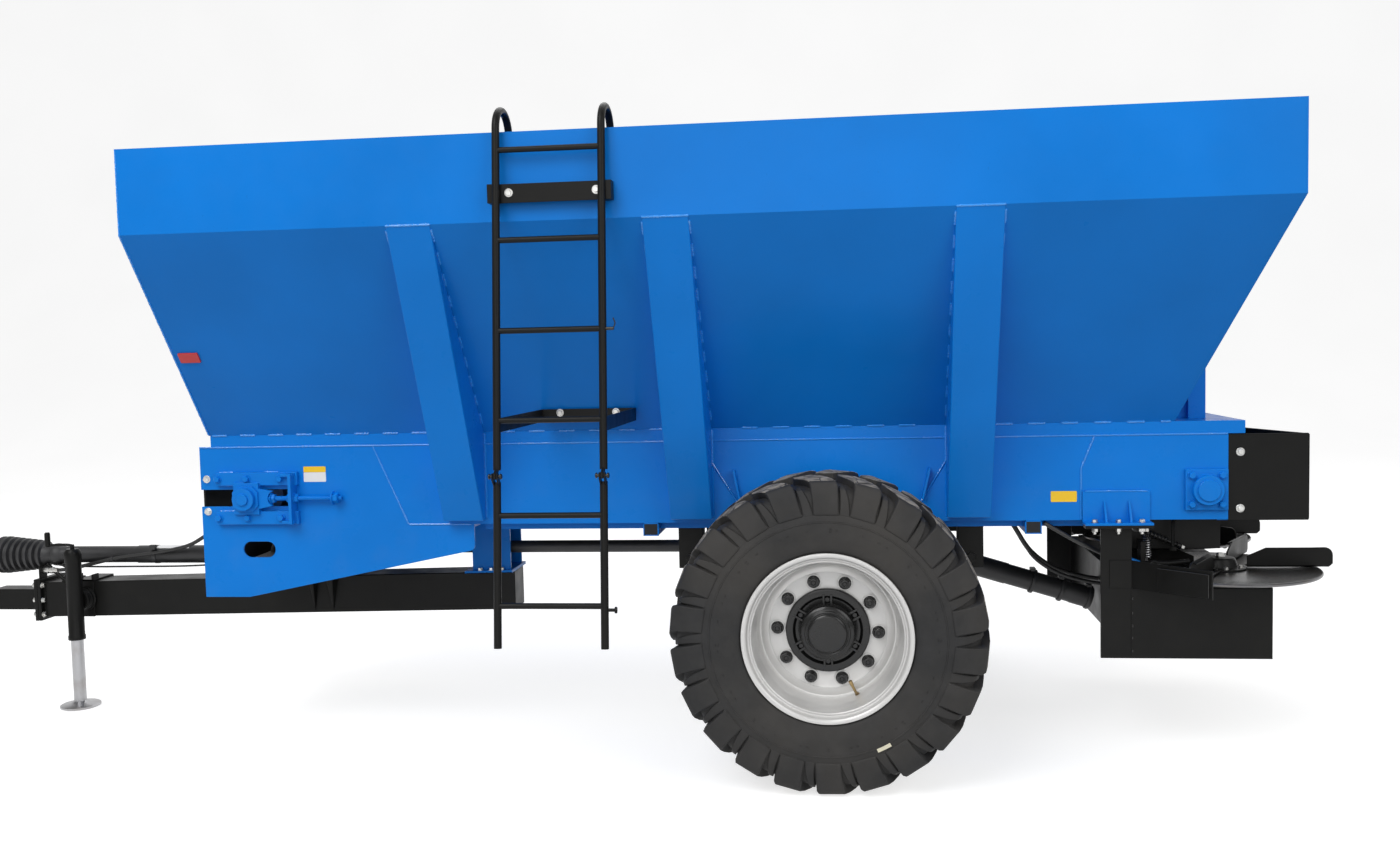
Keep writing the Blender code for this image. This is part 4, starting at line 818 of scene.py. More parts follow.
class WheelRims(bpy.types.Operator):
    """Silver rims with their black hubs, nuts and valves"""
    bl_idname = "spreader.rims"
    bl_label = "Rims and hubs"

    def execute(self, context):
        for side_name, side in SIDES.items():
            body = "wheel_" + side_name
            centre = wheel_centre(side_name)
            axis = Vector((0, side, 0))
            self.rim(side_name, centre, axis, body)
            self.hub(side_name, centre, axis, body)
            self.nuts(side_name, centre, axis, body)
            self.valve(side_name, centre, axis, body)
        return {"FINISHED"}

    def rim(self, side_name, centre, axis, body):
        mesh = bmesh.new()
        face = [(0.2855, 0.16), (0.2865, 0.169), (0.296, 0.1715), (0.299, 0.1735), (0.3, 0.1765),
                (0.299, 0.1792), (0.296, 0.18), (0.29, 0.1795), (0.285, 0.1775), (0.2815, 0.1735),
                (0.2795, 0.168), (0.279, 0.162), (0.2775, 0.1585), (0.2735, 0.158), (0.2705, 0.16),
                (0.268, 0.1605), (0.265, 0.159), (0.263, 0.155), (0.2622, 0.148), (0.2615, 0.138),
                (0.256, 0.122), (0.252, 0.112), (0.25, 0.1), (0.249, 0.07), (0.2485, 0.046),
                (0.2465, 0.039), (0.2425, 0.0345), (0.2385, 0.0335), (0.235, 0.035), (0.225, 0.0385),
                (0.21, 0.0395), (0.195, 0.037), (0.185, 0.033), (0.15, 0.0315), (0.11, 0.031),
                (0.11, 0.02), (0.185, 0.021), (0.21, 0.028), (0.235, 0.024), (0.246, 0.015),
                (0.248, -0.03), (0.25, -0.08), (0.274, -0.11), (0.275, -0.165), (0.285, -0.178),
                (0.296, -0.18), (0.3, -0.176), (0.296, -0.1715), (0.2865, -0.169), (0.2855, -0.16),
                (0.2855, -0.115), (0.26, -0.085), (0.26, 0.1), (0.2855, 0.15)]
        drop = 0.932
        lathe(mesh, [(r * drop if r > 0.2 else r, along) for r, along in face], centre, axis, 144)
        piece("rim_" + side_name + "_finished", mesh, "silver", body, ("rim_" + side_name,))
        way = Vector((cos(radians(214)), 0, sin(radians(214))))
        seam = centre + 0.2685 * way
        inner = centre + 0.244 * way
        seam_path = [seam + axis * 0.1785, inner + axis * 0.158]
        welds(f"rim_{side_name}_seam", [seam_path], "silver", body, 0.3)

    def hub(self, side_name, centre, axis, body):
        mesh = bmesh.new()
        ring = [(0.088, 0.032), (0.088, 0.036), (0.098, 0.038), (0.108, 0.0385), (0.112, 0.044),
                (0.116, 0.048), (0.134, 0.048), (0.1385, 0.046), (0.14, 0.042), (0.14, 0.0315)]
        lathe(mesh, ring, centre, axis, 96)
        lathe(mesh, [(0, 0.03), (0.0905, 0.03), (0.0905, 0.082), (0.0885, 0.0885), (0.083, 0.0925),
                     (0.076, 0.0945), (0.0735, 0.0975), (0.07, 0.0985), (0.068, 0.0965), (0.0655, 0.0965),
                     (0.064, 0.1), (0.06, 0.1035), (0.054, 0.105), (0, 0.105)], centre, axis, 96)
        lathe(mesh, [(0, -0.2), (0.075, -0.2), (0.08, -0.19), (0.08, -0.02), (0.105, 0.0), (0.109, 0.018),
                     (0.105, 0.03), (0, 0.03)], centre, axis, 48)
        for number in range(6):
            turn = Matrix.Rotation(radians(30 + 60 * number), 3, "Y")
            for spread in (-0.0125, 0.0125):
                across = turn @ Vector((0, 0, spread))
                start = centre + turn @ Vector((0.0885, 0, 0)) + across + axis * 0.044
                end = centre + turn @ Vector((0.1215, 0, 0)) + across + axis * 0.044
                rib_bar(mesh, start, end, axis, 0.0035, 0.0065)
            spot = centre + turn @ Vector((0.1035, 0, 0)) + axis * 0.036
            rod(mesh, spot, spot + axis * 0.012, 0.0085, 6)
        piece(f"hub_{side_name}", mesh, "gloss", body, edge=0.0008)

    def nuts(self, side_name, centre, axis, body):
        """Ten seats, each with a round base, a hexagon and a stud end."""
        heads = bmesh.new()
        seats = bmesh.new()
        size = setting("fasteners").wheel_nut / USUAL_WHEEL_NUT
        turned = (
            (seats, 0.0305, 28, [(0, 0.0), (0.0265, 0.0), (0.0262, 0.0035), (0.0245, 0.005), (0, 0.005)]),
            (heads, 0.035, 28, [(0, 0), (0.0215, 0), (0.0215, 0.0035), (0.019, 0.0055), (0, 0.0055)]),
            (heads, 0.035, 6, [(0, 0.005), (0.018, 0.005), (0.018, 0.02), (0.0155, 0.024),
                                (0.0085, 0.025), (0.008, 0.018), (0, 0.018)]),
            (heads, 0.035, 16, [(0, 0.01), (0.0078, 0.01), (0.0076, 0.0225), (0.0062, 0.024), (0, 0.024)]),
        )
        for number in range(10):
            angle = radians(-2.5 + 36 * number)
            spot = centre + 0.1675 * Vector((cos(angle), 0, sin(angle)))
            for mesh, lift, steps, profile in turned:
                sized = [(radius * size, along * size) for radius, along in profile]
                lathe(mesh, sized, spot + axis * lift, axis, steps)
        piece(f"wheel_nut_seats_{side_name}", seats, "silver", body)
        piece(f"wheel_nuts_{side_name}", heads, "gloss", body, edge=0.0008)

    def valve(self, side_name, centre, axis, body):
        mesh = bmesh.new()
        angle = radians(-66)
        out = Vector((cos(angle), 0, sin(angle)))
        root = centre + out * 0.236 + axis * 0.045
        path = [root, root - out * 0.01 + axis * 0.02, root - out * 0.03 + axis * 0.034,
                root - out * 0.062 + axis * 0.04]
        tube(mesh, smooth(path, 16), [0.0075] * 4 + [0.0045] * 8 + [0.0062] * 4, 12)
        piece(f"valve_{side_name}", mesh, "brass", body)


def rib_bar(mesh, start, end, up, half_wide, half_high):
    """Straight rectangular bar between two points."""
    along = (Vector(end) - Vector(start)).normalized()
    side = along.cross(Vector(up)).normalized() * half_wide
    rise = Vector(up).normalized() * half_high
    rings = []
    for point in (Vector(start), Vector(end)):
        corners = (-side - rise, side - rise, side + rise, -side + rise)
        rings.append([mesh.verts.new(point + corner) for corner in corners])
    faces = [mesh.faces.new(rings[0]), mesh.faces.new(rings[1])]
    for i in range(4):
        j = (i + 1) % 4
        faces.append(mesh.faces.new((rings[0][i], rings[0][j], rings[1][j], rings[1][i])))
    bmesh.ops.recalc_face_normals(mesh, faces=faces)
    return faces


# ---- hopper and chassis ----------------------------------------------------------------------------
class Sheets(bpy.types.Operator):
    """Finish on every solid that keeps its shape, with softened edges on the ones close to the eye"""
    bl_idname = "spreader.sheets"
    bl_label = "Painted sheets"

    def execute(self, context):
        for node, obj in frame["nodes"].items():
            finish = FINISH_OF_SLOT[SLOT_OF[node]]
            # Hopper solids get the darker copy of the blue paint: painted shade.
            if node.startswith("hopper"):
                finish = "hopper"
            if not obj.data.materials:
                obj.data.materials.append(None)
            for index in range(len(obj.data.materials)):
                obj.data.materials[index] = FINISHES[finish]
        soft = {"rib_": 0.003, "sill_": 0.002, "chassis_rail": 0.002,
                "front_plate": 0.0016, "front_crossmember": 0.0025, "towing_ring": 0.003,
                "take_up": 0.0014, "drive_bearing": 0.002, "spinner_bracket": 0.0012,
                "spinner_leg": 0.0012, "rear_deflector": 0.0014, "gate_frame": 0.0015, "rear_gate": 0.0012,
                "axle": 0.004, "suspension": 0.002, "cross_tube": 0.004, "spinner_housing": 0.002,
                "drop_chute": 0.001, "front_guard": 0.001}
        for node in sorted(frame["nodes"]):
            width = next((soft[key] for key in soft if node.startswith(key)), None)
            if width:
                refine(node, width)
        return {"FINISHED"}


class WeldBeads(bpy.types.Operator):
    """Weld beads along the hopper's foot, the ribs, the plates and the brackets"""
    bl_idname = "spreader.welds"
    bl_label = "Weld beads"

    def execute(self, context):
        for side_name, side in SIDES.items():
            self.hopper(side_name, side)
            self.chassis(side_name, side)
        return {"FINISHED"}

    def hopper(self, side_name, side):
        paths = []
        sill_low, sill_high = cad("sill_" + side_name)
        foot = side * (WALL + 0.001)
        x = sill_low.x + 0.01
        while x < 1.16:
            end = min(x + 0.058, 1.185)
            if not any(abs((x + end) / 2 - centre) < 0.105 for centre in RIB_X):
                paths.append([(x, foot, sill_high.z + 0.0005), (end, foot, sill_high.z + 0.0005)])
            x += 0.112
        for centre in RIB_X:
            for edge in (-1, 1):
                x = centre + edge * 0.0765
                t = 0.02
                while t < 0.97:
                    spots = []
                    for share in (t, min(t + 0.055, 0.99)):
                        z = 1.865 + (1.158 - 1.865) * share
                        spots.append((x, side * (1.1005 + (0.5705 - 1.1005) * share), z))
                    paths.append(spots)
                    t += 0.098
                paths.append([(x, side * 0.5715, 1.15), (x, side * 0.5715, 0.836)])
            paths.append([(centre - 0.075, side * 1.0985, 1.8645), (centre + 0.075, side * 1.0985, 1.8645)])
        x = -2.3335
        paths.append([(x, side * 0.575, 1.16), (x, side * 1.098, 1.864), (x, side * 1.098, 2.145)])
        # The bead finish is lighter than the blue paint: a painted highlight on these welds.
        welds(f"hopper_welds_{side_name}", paths, "bead")

    def chassis(self, side_name, side):
        face = side * (WALL + 0.0012)
        paths = [[(-2.375, face, 1.1105), (1.375, face, 1.1105)],
                 [(-1.69, face, 1.108), (-1.56, face, 0.814)],
                 [(-1.56, face, 0.8125), (-1.32, face, 0.8125)],
                 [(0.928, face, 1.106), (0.883, face, 0.995), (0.883, face, 0.815)]]
        for sign, centre in ((1, RIB_X[1]), (-1, RIB_X[2])):
            low = (centre + sign * (0.069 + 0.14), side * 0.5775, 0.813)
            high = (centre + sign * 0.0755, side * 0.5775, 1.03)
            paths.append([low, high])
        for z in (0.818, 0.868, 0.966, 1.0155):
            for x in (-2.3, -2.12):
                paths.append([(x, face, z), (x + 0.055, face, z)])
        low, high = cad("spinner_bracket_" + side_name)
        paths.append([(low.x + 0.01, face + side * 0.007, high.z + 0.0005),
                      (high.x - 0.01, face + side * 0.007, high.z + 0.0005)])
        for x in (-1.47, -1.31):
            paths.append([(x, side * 0.1, 0.5425 + (x + 1.47) * 0.02), (x, side * 0.075, 0.5425)])
        # The bead finish is lighter than the blue paint: a painted highlight along the chassis top and on
        # these welds.
        welds(f"chassis_welds_{side_name}", paths, "bead", "root", 0.75)


class Fins(bpy.types.Operator):
    """Small slanted fins, mudguard tabs and the post gussets"""
    bl_idname = "spreader.fins"
    bl_label = "Fins and gussets"

    def execute(self, context):
        for side_name, side in SIDES.items():
            mesh = bmesh.new()
            for foot_x, head_x in ((-0.315, -0.335), (0.335, 0.36)):
                outline = [(foot_x - 0.0035, 0.895), (foot_x + 0.0035, 0.895)]
                outline += arc((head_x, 1.0), 0.0045, 0, 180, 6)
                prism(mesh, outline, side * 0.57, side * 0.602)
            piece(f"guard_fins_{side_name}", mesh, "blue", edge=0.001)
            mesh = bmesh.new()
            prism(mesh, [(1.236, 1.1555), (1.281, 1.1555), (1.281, 1.215)], side * 0.398, side * 0.404)
            piece(f"post_gusset_{side_name}", mesh, "blue", edge=0.0008)
            mesh = bmesh.new()
            box(mesh, (-2.214, -2.206), (side * 0.04, side * 0.0685), (0.523, 0.545))
            piece(f"saddle_tab_{side_name}", mesh, "black", edge=0.0008)
        mesh = bmesh.new()
        for x, rise in ((-2.175, 0.1), (-2.125, -0.1)):
            outline = [(x - 0.028, 0.5175), (x + 0.028, 0.5185), (x + rise * 0.3, 0.544)]
            for side in (-1, 1):
                prism(mesh, outline, side * 0.063, side * 0.0695)
        piece("drawbar_fins", mesh, "black", edge=0.0008)
        return {"FINISHED"}


class Stickers(bpy.types.Operator):
    """Blank stickers and the red reflectors"""
    bl_idname = "spreader.stickers"
    bl_label = "Blank stickers"

    def execute(self, context):
        for side_name, side in SIDES.items():
            face = side * (WALL + 0.0002)
            skin = face + side * 0.0006
            mesh = bmesh.new()
            rounded(mesh, (-1.965, -1.8775), (1.0125, 1.034), 0.003, face, skin)
            rounded(mesh, (0.78, 0.869), (0.877, 0.915), 0.003, face, skin)
            piece(f"yellow_stickers_{side_name}", mesh, "yellow")
            mesh = bmesh.new()
            rounded(mesh, (-1.965, -1.8775), (0.976, 1.012), 0.003, face, skin)
            piece(f"white_stickers_{side_name}", mesh, "white")
            mesh = bmesh.new()
            slope = atan2(0.53, 0.71)
            z = 1.454
            y = 0.57 + 0.53 * (z - 1.155) / 0.71
            rounded(mesh, (-2.312, -2.236), (-0.021, 0.021), 0.004, 0.0, -side * 0.006)
            for vert in mesh.verts:
                up, out = vert.co.z, abs(vert.co.y)
                vert.co.y = side * (y + up * sin(slope) + (out + 0.0005) * cos(slope))
                vert.co.z = z + up * cos(slope) - (out + 0.0005) * sin(slope)
            bmesh.ops.recalc_face_normals(mesh, faces=mesh.faces)
            piece(f"reflector_{side_name}", mesh, "red", edge=0.0012)
        return {"FINISHED"}


def rounded(mesh, x, z, radius, near, far):
    """Rectangle with round corners in X and Z, extruded along Y."""
    near_x, far_x = x[0] + radius, x[1] - radius
    near_z, far_z = z[0] + radius, z[1] - radius
    outline = []
    for number, centre in enumerate(((far_x, far_z), (near_x, far_z), (near_x, near_z), (far_x, near_z))):
        outline += arc(centre, radius, 90 * number, 90 * number + 90, 4)
    return prism(mesh, outline, near, far)


class BoltHeads(bpy.types.Operator):
    """Bolts of the frame, the guides, the bearings, the spinner brackets, the drawbar and the ladder"""
    bl_idname = "spreader.bolts"
    bl_label = "Bolts"

    def execute(self, context):
        for side_name, side in SIDES.items():
            out = (0, side, 0)
            face = side * (WALL + 0.0002)
            corners = ((-2.352, 0.99), (-2.352, 0.866), (1.418, 1.046), (1.418, 0.85))
            bolts(f"frame_bolts_{side_name}", [((x, face, z), out) for x, z in corners])
            painted = [((x, side * 0.5904, z), out) for z in (0.843, 0.991) for x in (-2.298, -2.183, -2.05)]
            bolts(f"guide_bolts_{side_name}", painted, "blue", across=0.022, height=0.015)
            cap = []
            for x in (-0.0505, 0.0505):
                for z in (-0.0505, 0.0505):
                    cap.append(((REAR_ROLLER_X + x, side * 0.5844, ROLLER_Z + z), out))
            bolts(f"bearing_bolts_{side_name}", cap, "blue", across=0.022, height=0.014)
            low, high = cad("spinner_bracket_" + side_name)
            lower = high.z - 0.114
            above, below = [], []
            for x in (low.x + 0.035, low.x + 0.115, high.x - 0.035):
                above.append(((x, side * 0.611, lower + 0.0095), UP))
                below.append(((x, side * 0.611, 0.7898), DOWN))
            bolts(f"bracket_bolts_{side_name}", above, "zinc", across=0.017, height=0.011)
            bolts(f"bracket_nuts_{side_name}", below, "zinc", across=0.02, height=0.014, stud=0.008)
            feet = [((x, side * 0.1, drawbar_top(x) + 0.0125), UP) for x in (-1.435, -1.39, -1.345)]
            bolts(f"pedestal_bolts_{side_name}", feet, across=0.017, height=0.011)
        spots = [((x, ladder_y(1.95) + 0.0136, 1.952), LEFT) for x in (-0.9845, -0.701)]
        spots += [((x, -0.6387, 1.224), LEFT) for x in (-0.955, -0.75)]
        bolts("ladder_bolts", spots, across=0.019, height=0.01)
        spots = []
        for y in (-0.068, 0.068):
            for z in (0.362, 0.424, 0.488):
                spots.append(((-3.3953, y * 1.12, z), REAR))
                spots.append(((-3.4255, y * 1.12, z), FRONT))
        bolts("flange_bolts", spots, "zinc", across=0.018, height=0.012)
        return {"FINISHED"}


def drawbar_top(x):
    """Height of the drawbar's upper face."""
    return 0.499 + (x + 3.4) / 2.1 * (0.5447 - 0.499)


def ladder_y(z):
    """Y of the ladder rail's centre."""
    return -1.128 - 0.1021 * (2.15 - z)


class TakeUps(bpy.types.Operator):
    """Housing, clevis, threaded rod and nuts of the belt tensioners"""
    bl_idname = "spreader.take_ups"
    bl_label = "Belt tensioners"

    def execute(self, context):
        for side_name, side in SIDES.items():
            out = Vector((0, side, 0))
            mesh = bmesh.new()
            x, z = -2.182, ROLLER_Z
            cut = 0.022
            housing = [(x - 0.05, z - 0.048 + cut), (x - 0.05 + cut, z - 0.048), (x + 0.05 - cut, z - 0.048),
                       (x + 0.05, z - 0.048 + cut), (x + 0.05, z + 0.048 - cut), (x + 0.05 - cut, z + 0.048),
                       (x - 0.05 + cut, z + 0.048), (x - 0.05, z + 0.048 - cut)]
            prism(mesh, housing, side * 0.6, side * 0.612)
            centre = Vector((x, side * 0.612, z))
            lathe(mesh, [(0, -0.02), (0.04, -0.02), (0.04, 0.008), (0.0385, 0.011), (0.035, 0.0118),
                         (0.0335, 0.0095), (0.0315, 0.0095), (0.03, 0.015), (0.028, 0.0172),
                         (0.024, 0.0172), (0.0225, 0.016), (0.022, 0.027), (0.02, 0.0292),
                         (0, 0.0292)], centre, out, 48)
            clevis = [(x + 0.04, z - 0.04), (x + 0.092, z - 0.03)]
            clevis += arc((x + 0.116, z), 0.03, 245, 115, 8)
            clevis += [(x + 0.092, z + 0.03), (x + 0.04, z + 0.04)]
            prism(mesh, clevis, side * 0.584, side * 0.6035)
            piece(f"tensioner_fork_{side_name}", mesh, "blue", edge=0.0016)
            mesh = bmesh.new()
            start = Vector((-2.1, side * 0.5925, z))
            length = -1.808 + 2.1
            profile = [(0, 0)] + thread(int(length / 0.0035), 0.0035, 0.0078, 0.0094)
            profile += [(0.0078, length - 0.002), (0.006, length), (0, length)]
            lathe(mesh, profile, start, REAR, 14)
            piece(f"tensioner_screw_{side_name}", mesh, "blue", "root")
            nuts = []
            for x_nut, way in ((-2.0065, -1), (-1.9935, 1), (-2.084, 1)):
                nuts.append(((x_nut, side * 0.5925, z), (way, 0, 0)))
            bolts(f"tensioner_nuts_{side_name}", nuts, "blue", across=0.03, height=0.016)
            bolts(f"tensioner_end_{side_name}", [((-1.843, side * 0.5925, z), REAR)], "blue",
                  across=0.036, height=0.022)
            mesh = bmesh.new()
            for edge in (-0.095, 0.083):
                box(mesh, (-2.04, -1.992), (side * 0.571, side * 0.612), (edge + ROLLER_Z, edge + 0.929))
            piece(f"tensioner_gussets_{side_name}", mesh, "blue", edge=0.001)
            mesh = bmesh.new()
            lathe(mesh, [(0, 0), (0.0535, 0), (0.0535, 0.009), (0.0515, 0.0125), (0.047, 0.0135),
                         (0.04, 0.0125), (0.0385, 0.014), (0.038, 0.0195), (0.0355, 0.0215), (0, 0.022)],
                  (REAR_ROLLER_X, side * 0.598, ROLLER_Z), out, 48)
            piece(f"bearing_cap_{side_name}", mesh, "blue", "root")
            mesh = bmesh.new()
            tube(mesh, stadium(-2.153, 0.72, 0.1305, 0.0625, side * 0.5704, 10), 0.0011, 8, True)
            piece(f"hand_hole_edge_{side_name}", mesh, "blue", "root")
        return {"FINISHED"}


def thread(count, pitch, root, crest):
    """Profile of count ridges of a screw thread."""
    profile = []
    for ridge in range(count):
        profile += [(root, ridge * pitch), (crest, ridge * pitch + pitch / 2)]
    return profile


def stadium(x, z, width, height, y, steps):
    radius = height / 2
    reach = width / 2 - radius
    outline = arc((x + reach, z), radius, -90, 90, steps) + arc((x - reach, z), radius, 90, 270, steps)
    return [(px, y, pz) for px, pz in outline]


# ---- ladder ----------------------------------------------------------------------------------------
class Ladder(bpy.types.Operator):
    """Round-tube ladder with its hooks, stand-off plates and folding lower part"""
    bl_idname = "spreader.ladder"
    bl_label = "Ladder"

    def execute(self, context):
        rails = (-1.0225, -0.681)
        hook_y = ladder_y(2.15)
        split, hinge = 1.075, 1.058
        pin_y = ladder_y(hinge) - 0.022
        mesh = bmesh.new()
        for x in rails:
            bend = [(hook_y + 0.08 * (1 + y), 2.15 + 0.075 * z) for y, z in arc((0, 0), 1, 180, 0, 24)]
            route = [(ladder_y(split), split), (ladder_y(1.6), 1.6)] + bend
            route += [(hook_y + 0.16, 2.125), (hook_y + 0.16, 2.1)]
            tube(mesh, [(x, y, z) for y, z in route], 0.0125, 24)
        for z in (2.087, 1.8, 1.513, 1.231):
            rod(mesh, (rails[0] + 0.006, ladder_y(z), z), (rails[1] - 0.006, ladder_y(z), z), 0.0095, 20)
        piece("ladder_rails", mesh, "black", "root", ("ladder_upper",))
        mesh = bmesh.new()
        for x in rails:
            way = 1 if x > -0.8 else -1
            box(mesh, (x, x + way * 0.03), (ladder_y(1.95) + 0.004, -1.1004), (1.92, 1.98))
            box(mesh, (x - 0.003, x + 0.003), (ladder_y(1.22) + 0.006, -0.633), (1.192, 1.237))
            ear = [(ladder_y(split) + 0.008, split + 0.02), (pin_y - 0.009, split - 0.008),
                   (pin_y - 0.009, hinge - 0.009), (pin_y + 0.009, hinge - 0.009),
                   (ladder_y(split) + 0.008, split - 0.004)]
            prism(mesh, ear, x - 0.004, x + 0.004, "X")
        box(mesh, (rails[0] - 0.004, rails[1] + 0.004), (ladder_y(1.95) + 0.0135, ladder_y(1.95) + 0.019),
            (1.92, 1.98))
        box(mesh, (rails[0] - 0.003, rails[1] + 0.003), (-0.6385, -0.6325), (1.192, 1.237))
        piece("ladder_brackets", mesh, "black", edge=0.001)
        mesh = bmesh.new()
        for x in rails:
            rod(mesh, (x - 0.016, pin_y, hinge), (x + 0.016, pin_y, hinge), 0.005, 16)
            for way in (1, -1):
                lathe(mesh, [(0, 0), (0.009, 0), (0.009, 0.004), (0.006, 0.0065), (0, 0.0065)],
                      (x + way * 0.016, pin_y, hinge), (way, 0, 0), 16)
        piece("ladder_pins", mesh, "gloss", edge=0.0006)
        mesh = bmesh.new()
        y = ladder_y(1.513)
        rod(mesh, (rails[1] + 0.008, y, 1.513), (rails[1] + 0.036, y, 1.513), 0.0055, 14)
        wire = [(rails[1] + 0.034, y, 1.513), (rails[1] + 0.04, y, 1.53), (rails[1] + 0.034, y, 1.546)]
        tube(mesh, smooth(wire, 10), 0.0022, 8)
        piece("ladder_catch", mesh, "gloss", edge=0.0006)
        mesh = bmesh.new()
        low_split = hinge - 0.02
        for x in rails:
            tube(mesh, [(x, ladder_y(z), z) for z in (low_split, 0.8, 0.52)], 0.0125, 24)
            for offset in (-0.01, 0.006):
                shape = [(pin_y - 0.01, hinge + 0.01), (pin_y + 0.006, hinge + 0.01),
                         (ladder_y(low_split) + 0.008, low_split - 0.005),
                         (ladder_y(low_split) + 0.008, low_split - 0.03), (pin_y - 0.01, hinge - 0.01)]
                prism(mesh, shape, x + offset, x + offset + 0.004, "X")
        for z in (0.933, 0.652):
            rod(mesh, (rails[0] + 0.006, ladder_y(z), z), (rails[1] - 0.006, ladder_y(z), z), 0.0095, 20)
        end = rails[1] + 0.0125
        for inset, radius in ((-0.004, 0.0055), (0.02, 0.0105)):
            rod(mesh, (end + inset, ladder_y(0.64), 0.64), (end + 0.026, ladder_y(0.64), 0.64), radius, 14)
        piece("ladder_fold_rails", mesh, "black", "ladder_step", ("ladder_lower",))
        return {"FINISHED"}


# ---- spreading unit --------------------------------------------------------------------------------
class Spinners(bpy.types.Operator):
    """Spreading discs with their vanes, hub plates and bolts"""
    bl_idname = "spreader.spinners"
    bl_label = "Spreading discs"

    def execute(self, context):
        for side_name, side in SIDES.items():
            body = "disc_" + side_name
            centre = Vector((DISC_X, side * DISC_Y, DISC_Z))
            mesh = bmesh.new()
            lathe(mesh, [(0, 0.0005), (0.316, 0.0005), (0.322, -0.002), (0.33, -0.0025), (0.3345, 0.001),
                         (0.335, 0.006), (0.332, 0.0095), (0.326, 0.01), (0.318, 0.0085),
                         (0.24, 0.0062), (0.12, 0.006), (0, 0.006)], centre, UP, 128)
            piece(f"disc_{side_name}_plate", mesh, "disc", body, ("spinner_disc_" + side_name,))
            mesh = bmesh.new()
            lathe(mesh, [(0, -0.027), (0.045, -0.027), (0.045, 0.0), (0, 0.0)], centre, UP, 40)
            lathe(mesh, [(0, 0.006), (0.088, 0.006), (0.088, 0.012), (0.08, 0.0135), (0.06, 0.014),
                         (0.052, 0.04), (0.046, 0.047), (0.03, 0.049), (0, 0.0495)], centre, UP, 48)
            piece(f"disc_{side_name}_hub", mesh, "black", body, edge=0.0008)
            self.vanes(side_name, centre, body)
            spots = []
            for number in range(6):
                angle = pi / 6 + number * pi / 3
                spot = (centre.x + 0.07 * cos(angle), centre.y + 0.07 * sin(angle), 0.6185)
                spots.append((spot, UP))
            bolts(f"disc_{side_name}_hub_bolts", spots, "zinc", body, 0.014, 0.009)
            bolts(f"disc_{side_name}_centre_bolt", [((centre.x, centre.y, 0.654), UP)], "zinc", body,
                  0.024, 0.014)
        return {"FINISHED"}

    def vanes(self, side_name, centre, body):
        vane = bmesh.new()
        top = 0.6155
        corner = arc((0.385 - 0.028, top + 0.07 - 0.028), 0.028, 0, 90, 6)
        outline = [(0.092, top), (0.372, top), (0.385, top + 0.012)] + corner + [(0.15, top + 0.066),
                                                                                (0.092, top + 0.04)]
        prism(vane, outline, -0.003, 0.003)
        foot = [(-0.003, top - 0.0002), (-0.003, top + 0.006), (0.028, top + 0.006), (0.028, top - 0.0002)]
        prism(vane, foot, 0.095, 0.325, "X")
        flip = [(-0.003, top + 0.0655), (-0.003, top + 0.07), (0.0145, top + 0.065), (0.0145, top + 0.0605)]
        prism(vane, flip, 0.155, 0.354, "X")
        for radius in (0.125, 0.195, 0.265, 0.31):
            rod(vane, (radius, 0.016, top + 0.006), (radius, 0.016, top + 0.0135), 0.0085, 6)
            lathe(vane, [(0, 0), (0.0095, 0), (0.0085, 0.003), (0.005, 0.005), (0, 0.005)],
                  (radius, 0.016, top - 0.0157), DOWN, 12)
        first = vane.copy()
        bmesh.ops.rotate(first, cent=ORIGIN, matrix=Matrix.Rotation(-SIDES[side_name] * pi / 3, 3, "Z"),
                         verts=first.verts)
        turned = bpy.data.meshes.new("turned_vane")
        first.to_mesh(turned)
        first.free()
        vane.from_mesh(turned)
        bpy.data.meshes.remove(turned)
        vanes = loose_object(f"disc_{side_name}_vanes", vane)
        rounding(vanes, 0.0008, 1)
        grow(vanes, "ring", "black", Count=2, Axis=(0.0, 0.0, 1.0), Start=0.0)
        moved(vanes, Vector((centre.x, centre.y, 0)) + DATUM)
        settle(vanes, "black", body)


